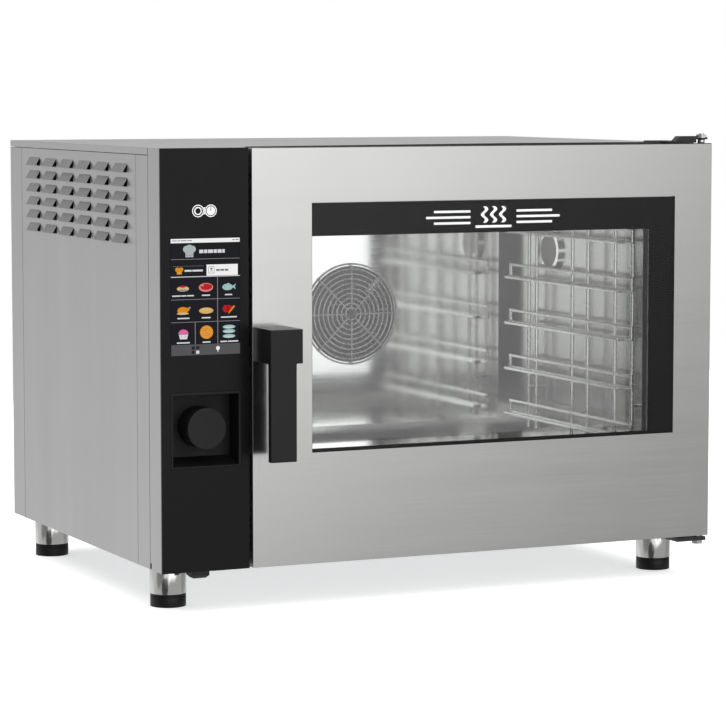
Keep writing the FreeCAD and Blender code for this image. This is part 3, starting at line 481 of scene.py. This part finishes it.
def silicone():
    """Extruded silicone: dark, slightly waxy, with faint draw lines."""
    made, tree, shader, where = finish_named("extruded silicone", "#2a2a2b", 0.0, 0.5, 1.41)
    shader.inputs["Coat Weight"].default_value = 0.15
    skin = streaks(tree, where, (8, 2, 8), 3.0)
    add(
        tree, "ShaderNodeMapRange", {"Value": skin, **MIDDLE, "To Min": 0.42, "To Max": 0.6},
        feeds={"Result": shader.inputs["Roughness"]},
    )
    return made


seal_low, seal_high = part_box("door_gasket")
# the section, as mm inward from the outer edge and mm forward of the seat
profile = [
    (0.0, 0.0), (0.0, -2.0), (0.8, -3.6), (2.6, -5.1), (5.0, -5.6), (7.4, -5.1), (9.2, -3.6),
    (10.0, -2.4), (12.0, -2.0), (12.0, 0.0),
]
seal = bmesh.new()
corner_rings = []
for sign_x, sign_z in ((-1, -1), (1, -1), (1, 1), (-1, 1)):
    corner_x = seal_low.x if sign_x < 0 else seal_high.x
    corner_z = seal_low.z if sign_z < 0 else seal_high.z
    ring = []
    for inward, forward in profile:
        ring.append(seal.verts.new((
            corner_x - sign_x * inward * MM,
            seal_high.y + forward * MM,
            corner_z - sign_z * inward * MM,
        )))
    corner_rings.append(ring)
for number, ring in enumerate(corner_rings):
    after = corner_rings[(number + 1) % 4]
    for step in range(len(ring)):
        other = (step + 1) % len(ring)
        seal.faces.new((ring[step], after[step], after[other], ring[other]))
bmesh.ops.recalc_face_normals(seal, faces=seal.faces)
gasket = plain_piece("bulb_gasket", seal, silicone(), "cabinet")
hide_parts("door_gasket")

# ----------------------------------------------------------------------- door
# The door is a folded box of the same 304 stainless with a finer brushing. Its
# outer pane is 4 mm toughened glass, printed black round a clear window; the
# inner pane has a heat-reflecting coat, which mirrors more than plain glass.

door_steel = brushed_stainless(
    "finely brushed stainless door", "#c2c2c1", 0.16, "X",
    grain_mm=0.7, depth_mm=0.003, swing=0.03,
)
coat(door_steel, "door_skin", soften_mm=0.5)


def window_glass(name, colour, tint_hex, ior, specular):
    """Clear float glass. Rays that light the chamber, and rays that its walls
    mirror out again, go straight through, as thin glass lets them."""
    made, tree, shader, where = finish_named(name, colour, 0.0, 0.0, ior)
    shader.inputs["Transmission Weight"].default_value = 1.0
    shader.inputs["Specular IOR Level"].default_value = specular
    waves = streaks(tree, where, (180, 180, 180), 1.0)
    add(
        tree, "ShaderNodeBump",
        {"Height": waves, "Distance": 0.02 * MM, "Strength": 0.15},
        feeds={"Normal": shader.inputs["Normal"]},
    )
    straight = add(tree, "ShaderNodeBsdfTransparent", {"Color": linear(tint_hex)})
    path = add(tree, "ShaderNodeLightPath")
    lighting = add(
        tree, "ShaderNodeMath",
        {0: path.outputs["Is Shadow Ray"], 1: path.outputs["Is Diffuse Ray"]}, operation="MAXIMUM",
    )
    mirrored = add(
        tree, "ShaderNodeMath",
        {0: path.outputs["Is Glossy Ray"], 1: path.outputs["Is Transmission Ray"]},
        operation="SUBTRACT", use_clamp=True,
    )
    passing = add(
        tree, "ShaderNodeMath", {0: lighting.outputs[0], 1: mirrored.outputs[0]},
        operation="MAXIMUM",
    )
    add(
        tree, "ShaderNodeMixShader",
        {0: passing.outputs[0], 1: shader.outputs[0], 2: straight.outputs[0]},
        feeds={"Shader": tree.nodes["Material Output"].inputs["Surface"]},
    )
    return made


def ceramic_print():
    """Fired black enamel on the back of the pane, seen through its polish."""
    made, tree, shader, where = finish_named("fired black ceramic print", "#0d0d0e", 0.0, 0.22)
    shader.inputs["Specular IOR Level"].default_value = 0.02
    grain = streaks(tree, where, (1.5, 1.5, 1.5), 2.0)
    add(
        tree, "ShaderNodeMapRange", {"Value": grain, **MIDDLE, "To Min": 0.16, "To Max": 0.3},
        feeds={"Result": shader.inputs["Roughness"]},
    )
    return made


# real float glass has an index of 1.5; the outer pane is drawn at 1.33, so that
# it mirrors less of the studio and leaves the chamber clear
coat(window_glass("toughened float glass", "#ffffff", "#fefefe", 1.33, 0.5), "outer_glass")
coat(window_glass("coated float glass", "#fdfefe", "#fcfdfd", 1.5, 0.4), "inner_glass")
coat(ceramic_print(), "glass_print")

# --------------------------------------------------------------------- hinges
# Powder-coated steel arms hold a turned pin above and below the door, which
# turns on them in sintered bronze bushes.

def bronze():
    """Pressed and oiled bronze powder: brown, with pores 0.8 mm apart."""
    made, tree, shader, where = finish_named("sintered bronze", "#9a7548", 1.0, 0.45)
    pores = streaks(tree, where, (0.8, 0.8, 0.8), 2.0)
    add(
        tree, "ShaderNodeMapRange", {"Value": pores, **MIDDLE, "To Min": 0.35, "To Max": 0.6},
        feeds={"Result": shader.inputs["Roughness"]},
    )
    add(
        tree, "ShaderNodeBump",
        {"Height": pores, "Distance": 0.03 * MM, "Strength": 0.4},
        feeds={"Normal": shader.inputs["Normal"]},
    )
    return made


coat(bronze(), "hinge_bushes")
coat(bright_steel, "hinge_pins", soften_mm=0.2)
coat(
    moulded_plastic("black powder coat", "#1b1b1c", 0.45, 0.9, 0.03),
    "hinge_bracket_top", "hinge_bracket_bottom", soften_mm=0.5,
)

# --------------------------------------------------------------------- handle
# The handle is one moulding of glass-filled ABS with a satin skin, screwed to
# the latch spindle behind it.

coat(moulded_plastic("satin moulded ABS", "#121213", 0.34, 0.7, 0.012, specular=0.28), "handle")

# -------------------------------------------------------------- control panel
# A full-height panel of satin black polycarbonate stands in front of a folded
# box. It has a touch key at the top, a display and a deep pocket for the dial.

panel_black = moulded_plastic(
    "satin polycarbonate panel", "#0b0b0c", 0.26, 0.6, 0.004, specular=0.16,
)
coat(panel_black, "control_fascia", soften_mm=0.4)
pocket_black = moulded_plastic("textured ABS pocket", "#0d0d0e", 0.5, 0.8, 0.03, specular=0.3)
coat(pocket_black, "knob_pocket", soften_mm=0.5)
coat(moulded_plastic("satin ABS dial", "#151516", 0.45, 0.6, 0.015, specular=0.25), "knob")
coat(moulded_plastic("black rubber cap", "#141414", 0.6, 1.2, 0.03), "socket_caps", soften_mm=0.6)
frame_grey = moulded_plastic("grey moulded frame", "#4a4a4c", 0.5, 1.0, 0.02)
coat(frame_grey, "display_module", "encoder_body")
coat(moulded_plastic("cream relay housing", "#c9c2ae", 0.5, 1.0, 0.02), "contactors", soften_mm=1.0)


def circuit_board():
    """Green solder mask over fine tracks about 1 mm apart."""
    made, tree, shader, where = finish_named("solder-masked circuit board", "#0d5a2a", 0.0, 0.3)
    tracks = streaks(tree, where, (1.2, 60, 30), 2.0)
    share = add(
        tree, "ShaderNodeMapRange", {"Value": tracks, **MIDDLE, "To Min": 0.0, "To Max": 1.0},
    )
    add(
        tree, "ShaderNodeMix",
        {"Factor": share.outputs[0], "A": linear("#0a4020"), "B": linear("#1a7a3c")},
        feeds={"Result": shader.inputs["Base Color"]}, data_type="RGBA",
    )
    add(
        tree, "ShaderNodeBump",
        {"Height": tracks, "Distance": 0.04 * MM, "Strength": 0.4},
        feeds={"Normal": shader.inputs["Normal"]},
    )
    return made


coat(circuit_board(), "control_board")

# --------------------------------------------------------------- touch display
# A seven-inch portrait display is bonded behind dark cover glass. The lit
# picture is drawn as thin flat shapes, with plain bars in place of words.

def cover_glass():
    """Bonded cover glass over a dark display: almost black blue and glossy."""
    made, tree, shader, where = finish_named("bonded cover glass", "#05060e", 0.0, 0.08, 1.52)
    smear = streaks(tree, where, (30, 30, 30), 3.0)
    add(
        tree, "ShaderNodeMapRange", {"Value": smear, **MIDDLE, "To Min": 0.05, "To Max": 0.14},
        feeds={"Result": shader.inputs["Roughness"]},
    )
    shader.inputs["Specular IOR Level"].default_value = 0.12
    return made


coat(cover_glass(), "touch_display")


def backlit(name, colour):
    """A lit patch of the display, which shines through dark glass by itself.
    The picture dots are 0.15 mm apart, drawn 0.6 mm so as to show."""
    made, tree, shader, where = finish_named(name, "#05060e", 0.0, 0.12, 1.52)
    dots = streaks(tree, where, (0.6, 0.6, 0.6), 1.0)
    shade = tuple(c * 0.93 for c in linear(colour)[:3]) + (1.0,)
    add(
        tree, "ShaderNodeMix", {"Factor": dots, "A": shade, "B": linear(colour)},
        feeds={"Result": shader.inputs["Emission Color"]}, data_type="RGBA",
    )
    shader.inputs["Specular IOR Level"].default_value = 0.1
    shader.inputs["Emission Strength"].default_value = 0.88
    return made


screen_low, screen_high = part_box("touch_display")
LAYER = 0.02 * MM


class Drawing:
    """Flat shapes in mm from the display's top left corner, one mesh per colour."""

    def __init__(self, left, top, front):
        self.left, self.top, self.front = left, top, front
        self.meshes = {}

    def shape(self, colour, points, layer=1):
        mesh = self.meshes.setdefault(colour, bmesh.new())
        y = self.front - layer * LAYER
        ring = [
            mesh.verts.new((self.left + u * MM, y, self.top - v * MM)) for u, v in points
        ]
        mesh.faces.new(ring)

    def bar(self, colour, u0, u1, v0, v1, layer=1):
        self.shape(colour, [(u0, v0), (u0, v1), (u1, v1), (u1, v0)], layer)

    def oval(self, colour, u, v, ru, rv, layer=1, start=0, end=360, steps=28):
        corners = steps + (end - start < 360)
        turn = [math.radians(start + (end - start) * i / steps) for i in range(corners)]
        self.shape(colour, [(u + ru * math.cos(a), v - rv * math.sin(a)) for a in turn], layer)

    def ring(self, colour, u, v, outer, inner, layer=1, steps=40):
        mesh = self.meshes.setdefault(colour, bmesh.new())
        y = self.front - layer * LAYER
        for i in range(steps):
            corners = []
            for radius, angle in ((outer, i), (outer, i + 1), (inner, i + 1), (inner, i)):
                turn = 2 * math.pi * angle / steps
                corners.append(mesh.verts.new((
                    self.left + (u + radius * math.cos(turn)) * MM, y,
                    self.top - (v + radius * math.sin(turn)) * MM,
                )))
            mesh.faces.new(corners)
        bmesh.ops.remove_doubles(mesh, verts=mesh.verts, dist=0.005 * MM)

    def words(self, colour, u0, u1, v, height=1.3, lengths=(1.0,), layer=1):
        """Plain bars where a word would be; lengths are shares of the width."""
        gap = 1.0
        usable = (u1 - u0) - gap * (len(lengths) - 1)
        at = u0
        for share in lengths:
            wide = usable * share / sum(lengths)
            self.bar(colour, at, at + wide, v - height / 2, v + height / 2, layer)
            at += wide + gap


picture = Drawing(screen_low.x, screen_high.z, screen_low.y)
WIDE = (screen_high.x - screen_low.x) / MM
TALL = (screen_high.z - screen_low.z) / MM
ROWS = (50.6, 80.6, 110.8, 141.0)
LINE = 0.55

picture.bar("status_white", 0, WIDE, 0, 5.6)
picture.words("mark_grey", 2, 30, 2.6, 1.2, (5, 3, 6, 5), 2)
picture.words("mark_grey", 88, 97, 2.6, 1.2, (3, 4), 2)
# the cook's hat: three puffs over a band
picture.oval("hat_grey", 22.0, 14.0, 4.6, 4.6)
picture.oval("hat_grey", 31.0, 14.0, 4.6, 4.6)
picture.oval("hat_grey", 26.5, 12.6, 5.2, 4.6)
picture.bar("hat_grey", 20.8, 32.2, 15.5, 24.6)
picture.bar("mark_grey", 21.2, 31.8, 21.6, 22.2, 2)
picture.words("text_white", 40.5, 77, 17.3, 4.6, (5, 4, 6, 4, 5, 3))
picture.bar("line_grey", 0, WIDE, 27.0, 27.0 + LINE)
for u in range(3, 47, 3):
    picture.bar("line_grey", u, u + 1.8, 36.2, 36.6)
picture.oval("icon_orange", 9.2, 40.8, 3.0, 3.0)
picture.oval("icon_orange", 14.6, 40.8, 3.0, 3.0)
picture.bar("icon_orange", 8.4, 15.4, 41.2, 47.2)
picture.bar("icon_tan", 9.0, 14.8, 44.6, 45.2, 2)
picture.words("text_white", 19.5, 45.5, 42.6, 2.4, (4, 6))
picture.bar("status_white", 50.8, 95.6, 35.0, 49.8)
picture.bar("mark_grey", 53.4, 62.0, 37.6, 46.8, 2)
picture.bar("status_white", 54.0, 61.4, 38.2, 46.2, 3)
picture.oval("mark_grey", 57.7, 40.8, 1.7, 1.4, 4)
picture.bar("mark_grey", 55.2, 60.2, 43.4, 44.0, 4)
picture.words("mark_grey", 64.5, 82, 42.6, 2.6, (1, 1, 1), 2)
picture.bar("text_white", 0, WIDE, 50.2, 51.2)
picture.bar("line_grey", 0, WIDE, ROWS[1], ROWS[1] + LINE)
picture.bar("line_grey", 0, WIDE, ROWS[2], ROWS[2] + LINE)
picture.bar("line_grey", 66.0, 66.0 + LINE * 1.4, ROWS[0], ROWS[3])
picture.bar("line_grey", 33.8, 33.8 + LINE * 1.4, ROWS[2], ROWS[3])
# a dish of pasta
picture.oval("icon_tan", 17.0, 66.5, 8.6, 3.6, 1)
picture.oval("line_grey", 17.0, 68.4, 6.4, 1.5, 2)
picture.oval("icon_red", 16.6, 63.4, 4.4, 1.5, 2)
# a cut of meat
picture.oval("meat_pink", 49.8, 65.3, 10.2, 5.9, 1)
picture.oval("icon_red", 50.2, 64.6, 8.3, 4.2, 2)
picture.oval("meat_pink", 44.8, 62.6, 2.0, 1.2, 3)
# a fish
picture.oval("fish_teal", 80.8, 65.6, 7.6, 4.4, 1)
picture.shape("fish_teal", [(86.5, 65.0), (93.0, 61.4), (91.2, 65.3), (92.6, 69.0)], 1)
picture.shape("fish_teal", [(78.5, 61.9), (82.5, 60.0), (84.0, 62.2)], 2)
picture.oval("mark_grey", 76.4, 64.8, 0.7, 0.7, 2)
# a roast chicken
picture.oval("icon_orange", 16.6, 95.4, 7.6, 4.8, 1)
picture.oval("icon_orange", 22.0, 94.0, 4.4, 2.4, 1)
picture.oval("line_grey", 26.6, 91.6, 1.4, 1.1, 2)
picture.oval("icon_tan", 16.6, 99.4, 8.6, 1.5, 2)
# a loaf
picture.oval("bread_tan", 50.0, 96.4, 10.2, 4.1, 1)
picture.oval("icon_tan", 46.2, 94.4, 3.0, 1.5, 2)
picture.oval("icon_tan", 52.4, 94.2, 3.0, 1.5, 2)
# a pepper and a carrot
picture.oval("icon_red", 78.4, 94.6, 4.6, 4.9, 1)
picture.oval("icon_red", 83.0, 94.6, 4.4, 4.7, 1)
picture.shape("icon_orange", [(89.4, 90.2), (91.4, 92.0), (82.6, 101.4), (81.6, 100.6)], 2)
# a small cake
picture.oval("cake_pink", 17.4, 126.6, 7.2, 6.0, 1, 0, 180)
picture.shape("text_white", [(10.8, 127.2), (24.0, 127.2), (22.4, 133.6), (12.4, 133.6)], 2)
picture.bar("cake_pink", 14.4, 15.2, 127.8, 131.6, 3)
picture.bar("cake_pink", 19.4, 20.2, 127.8, 131.6, 3)
# a pizza
picture.oval("icon_orange", 50.4, 125.2, 9.4, 9.0, 1)
picture.oval("bread_tan", 50.4, 125.2, 7.4, 7.0, 2)
picture.oval("icon_orange", 50.4, 125.2, 6.6, 6.2, 3)
for u, v in ((46.8, 125.4), (50.4, 124.6), (54.0, 125.6), (49.0, 128.2), (52.4, 122.4)):
    picture.oval("icon_tan", u, v, 0.9, 0.9, 4)
# three stacked trays
for v in (119.0, 124.8, 131.4):
    picture.oval("fish_teal", 82.6, v, 9.0, 2.6, 1)
    picture.oval("tray_shadow", 82.6, v + 0.9, 7.0, 1.2, 2)
label_rows = (75.8, 105.8, 138.4)
label_spans = (
    ((1.6, 32.6, (5, 3, 4)), (44.0, 55.6, (1,)), (77.0, 87.4, (1,))),
    ((9.0, 26.0, (1,)), (43.6, 56.2, (1,)), (71.0, 94.0, (1,))),
    ((8.0, 26.4, (1,)), (44.6, 56.0, (1,)), (70.0, 96.0, (4, 6))),
)
for v, spans in zip(label_rows, label_spans):
    for u0, u1, lengths in spans:
        picture.words("text_white", u0, u1, v, 1.7, lengths)
picture.bar("footer_grey", 0, WIDE, ROWS[3], TALL)
for u in (29.0, 35.4):
    for v in (143.6, 149.4):
        last = u > 30 and v > 146
        picture.bar("text_white" if last else "screen_dark", u, u + 4.4, v, v + 4.2, 2)
picture.oval("lamp_white", 66.6, 147.0, 2.7, 2.7, 2)
picture.bar("lamp_white", 66.2, 67.0, 149.6, 152.4, 2)

screen_colours = {
    "status_white": "#ffffff", "text_white": "#e6e6ea", "line_grey": "#9a9aa2",
    "mark_grey": "#77777c", "hat_grey": "#b6bec0", "icon_orange": "#e8920f",
    "icon_tan": "#dcc38a", "icon_red": "#c01010", "meat_pink": "#e08a84",
    "fish_teal": "#a5c8c8", "tray_shadow": "#c6dede", "bread_tan": "#e6b765",
    "cake_pink": "#ee6aa8", "footer_grey": "#565658", "screen_dark": "#16161a",
    "lamp_white": "#ffffff",
}
for colour, mesh in picture.meshes.items():
    lit = backlit("lit picture " + colour.replace("_", " "), screen_colours[colour])
    plain_piece("screen_" + colour, mesh, lit, "cabinet", smooth=False)

# --------------------------------------------------------------- printed marks
# White two-part ink is screen-printed on the panel for the touch key, and a
# plain steam mark is printed on the window's black band.

def white_ink():
    """Screen-printed ink: matt white, slightly uneven."""
    made, tree, shader, where = finish_named("screen-printed white ink", "#f2f2f2", 0.0, 0.45)
    film = streaks(tree, where, (1.5, 1.5, 1.5), 2.0)
    add(
        tree, "ShaderNodeMix", {"Factor": film, "A": linear("#e6e6e6"), "B": linear("#fbfbfb")},
        feeds={"Result": shader.inputs["Base Color"]}, data_type="RGBA",
    )
    return made


ink = white_ink()
fascia_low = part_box("control_fascia")[0]
key = Drawing(screen_low.x + 39.0 * MM, screen_high.z + 36.5 * MM, fascia_low.y)
for u in (0.0, 18.4):
    key.ring("ink", u, 0, 8.3, 7.1)
key.ring("ink", 0, 0, 5.4, 3.9)
key.ring("ink", 18.4, 0, 5.9, 0.4)
key.bar("gap", 17.9, 18.9, -6.2, 0.6, 2)
key.bar("ink", 7.6, 10.8, -4.6, -3.6)
key.bar("ink", 7.6, 10.8, 3.6, 4.6)
key.bar("ink", 8.7, 9.7, -3.6, 3.6)
plain_piece("touch_key_print", key.meshes["ink"], ink, "cabinet", smooth=False)
plain_piece("touch_key_gap", key.meshes["gap"], panel_black, "cabinet", smooth=False)

glass_low, glass_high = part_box("outer_glass")
band = Drawing(glass_low.x, glass_high.z, glass_low.y)
MARK_MIDDLE = 275.0
MARK_HEIGHT = 22.5


def steam_wave(drawing, u, v_top, v_low, swing, width, steps=16):
    """A wave of even width that rises through one and a half swings."""
    left, right = [], []
    for i in range(steps + 1):
        share = i / steps
        middle = u + swing * math.sin(share * 3 * math.pi)
        v = v_low + (v_top - v_low) * share
        left.append((middle - width / 2, v))
        right.append((middle + width / 2, v))
    mesh = drawing.meshes.setdefault("ink", bmesh.new())
    for (a, b, c, d) in zip(left, right, right[1:], left[1:]):
        mesh.faces.new([
            mesh.verts.new((drawing.left + p * MM, drawing.front - LAYER, drawing.top - q * MM))
            for p, q in (a, b, c, d)
        ])
    bmesh.ops.remove_doubles(mesh, verts=mesh.verts, dist=0.005 * MM)


for offset in (-14.0, 0.0, 14.0):
    steam_wave(band, MARK_MIDDLE + offset, MARK_HEIGHT - 13.5, MARK_HEIGHT + 9.0, 3.2, 5.2)
band.bar("ink", MARK_MIDDLE - 28.0, MARK_MIDDLE + 28.0, MARK_HEIGHT + 12.6, MARK_HEIGHT + 16.0)
for side in (-1, 1):
    for v, reach in ((-7.0, 92.0), (1.0, 104.0), (9.0, 92.0)):
        ends = sorted((MARK_MIDDLE + side * 36.0, MARK_MIDDLE + side * reach))
        band.bar("ink", ends[0], ends[1], MARK_HEIGHT + v - 1.6, MARK_HEIGHT + v + 1.6)
plain_piece("window_mark", band.meshes["ink"], ink, "door", smooth=False)

# ------------------------------------------------------------------- shade strips
# A dark strip of the black silicone stands along the casing's top front edge, and a
# thinner one on the door's top: painted shade for the gap between them. Both rise
# towards the hinge, where that shade looks wider.

cover_low, cover_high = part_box("top_cover")
skin_low, skin_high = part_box("door_skin")
shade_strip_front = cover_low.y + 1.3 * MM


def rising_shade_strip(name, stations, front, depth, low, body):
    """A dark strip of painted shade, in the silicone material, whose top passes through the
    stations (x, top).
    """
    strip = bmesh.new()
    rings = []
    for x, top in stations:
        back = front + depth
        corners = ((x, front, low), (x, back, low), (x, back, top), (x, front, top))
        rings.append([strip.verts.new(corner) for corner in corners])
    for first, second in zip(rings, rings[1:]):
        for i in range(4):
            j = (i + 1) % 4
            strip.faces.new((first[i], first[j], second[j], second[i]))
    strip.faces.new(list(reversed(rings[0])))
    strip.faces.new(rings[-1])
    bmesh.ops.recalc_face_normals(strip, faces=strip.faces)
    plain_piece(name, strip, gasket.data.materials[0], body, smooth=False)


left, middle, right = skin_low.x + 12 * MM, skin_low.x + 420 * MM, skin_high.x - 1.5 * MM
top_shade_strip_tops = [cover_high.z + rise * MM for rise in (0.2, 1.6, 1.2)]
# painted shade along the casing's top front edge
rising_shade_strip(
    "top_shade_strip", tuple(zip((left, middle, right), top_shade_strip_tops)),
    shade_strip_front, 5.6 * MM, skin_high.z - 3 * MM, "cabinet",
)
door_shade_strip_tops = [skin_high.z + rise * MM for rise in (0.1, 0.5, 1.1)]
# painted shade along the door's top
rising_shade_strip(
    "door_top_shade_strip", tuple(zip((left, middle, right + 1 * MM), door_shade_strip_tops)),
    skin_low.y + 0.4 * MM, 5.0 * MM, skin_high.z - 0.2 * MM, "door",
)

# --------------------------------------------------------------------- studio
# A pale glowing table stands in a pale room, with one wide soft light overhead,
# three bright cards and three grey flags. None of it belongs to the oven.

floor_mesh = bmesh.new()
reach = 2.4
for x, y in ((-reach, -reach), (reach, -reach), (reach, reach), (-reach, reach)):
    floor_mesh.verts.new((x, y, cad_low.z))
floor_mesh.faces.new(floor_mesh.verts)
floor_data = bpy.data.meshes.new("studio_floor")
floor_mesh.to_mesh(floor_data)
floor_mesh.free()
studio_floor = bpy.data.objects.new("studio_floor", floor_data)
bpy.context.scene.collection.objects.link(studio_floor)
studio_floor.visible_glossy = False
floor_paint, tree, shader, where = finish_named("backlit white acrylic table", "#fbfbfb", 0.0, 0.9)
shader.inputs["Emission Color"].default_value = (1, 1, 1, 1)
shader.inputs["Emission Strength"].default_value = 0.55
floor_data.materials.append(floor_paint)

surround = bpy.data.worlds.new("studio surround")
bpy.context.scene.world = surround
surround.use_nodes = True
tree = surround.node_tree
look = add(tree, "ShaderNodeTexCoord").outputs["Generated"]


def toward(direction, start, end, low, high):
    """Goes smoothly from low to high as a ray nears a direction."""
    near = add(
        tree, "ShaderNodeVectorMath", {0: look, 1: Vector(direction).normalized()},
        operation="DOT_PRODUCT",
    )
    return add(
        tree, "ShaderNodeMapRange",
        {
            "Value": near.outputs["Value"], "From Min": start, "From Max": end,
            "To Min": low, "To Max": high,
        },
        interpolation_type="SMOOTHSTEP",
    ).outputs[0]


# the room is brighter at the rear, and its ceiling is dimmer
room = toward((0, 1, 0), -0.6, 0.5, 0.47, 0.68)
ceiling = toward((0, 0, 1), 0.05, 0.32, 1.0, 0.5)
horizon = add(tree, "ShaderNodeMath", {0: room, 1: ceiling}, operation="MULTIPLY")
# the cards add light
front_card = toward((0.12, -0.95, 0.30), 0.82, 0.945, 0.0, 1.2)
left_card = toward((-0.42, -0.9, -0.03), 0.92, 0.98, 0.0, 0.55)
rear_card = toward((-0.35, 0.8, -0.5), 0.85, 0.96, 0.0, 0.24)
front_lit = add(
    tree, "ShaderNodeMath", {0: horizon.outputs[0], 1: front_card}, operation="ADD",
)
sides_lit = add(tree, "ShaderNodeMath", {0: rear_card, 1: left_card}, operation="ADD")
lit = add(
    tree, "ShaderNodeMath", {0: front_lit.outputs[0], 1: sides_lit.outputs[0]}, operation="ADD",
)
# the flags take a share of it away
right_flag = toward((1.0, 0.1, 0.0), 0.80, 0.92, 1.0, 0.6)
left_flag = toward((-1.0, -0.25, 0.0), 0.88, 0.96, 1.0, 0.5)
low_flag = toward((-0.6, -0.75, -0.45), 0.915, 0.94, 1.0, 0.15)
side_flags = add(tree, "ShaderNodeMath", {0: right_flag, 1: left_flag}, operation="MULTIPLY")
flags = add(
    tree, "ShaderNodeMath", {0: side_flags.outputs[0], 1: low_flag}, operation="MULTIPLY",
)
glow = add(
    tree, "ShaderNodeMath", {0: lit.outputs[0], 1: flags.outputs[0]}, operation="MULTIPLY",
)
# seen straight on, the surround is plain white
straight_on = add(tree, "ShaderNodeLightPath").outputs["Is Camera Ray"]
background = tree.nodes["Background"]
background.inputs["Color"].default_value = (1, 1, 1, 1)
add(
    tree, "ShaderNodeMix", {"Factor": straight_on, "A": glow.outputs[0], "B": 1.0},
    feeds={"Result": background.inputs["Strength"]}, data_type="FLOAT",
)

overhead = bpy.data.lights.new("overhead_light", "AREA")
overhead.shape = "RECTANGLE"
overhead.size = overhead.size_y = 7.0
overhead.energy = 200
overhead_box = bpy.data.objects.new("overhead_light", overhead)
overhead_box.location = (0, -0.3, 3.2)
bpy.context.scene.collection.objects.link(overhead_box)

camera_data = bpy.data.cameras.new("studio_camera")
camera_data.sensor_width = 36.0
camera_data.lens = 148.27
camera = bpy.data.objects.new("studio_camera", camera_data)
bpy.context.scene.collection.objects.link(camera)
# the camera stands off the panel's lower left corner, looking down and right
stand_off = Vector((-1.4034, -3.6976, 0.6526))
degrees_down, degrees_right = 5.343, 24.662
camera.location = fascia_low + stand_off
camera.rotation_euler = Euler(
    (math.radians(90 - degrees_down), 0, math.radians(-degrees_right)), "XYZ",
)
bpy.context.scene.camera = camera
bpy.context.scene.view_settings.view_transform = "Standard"
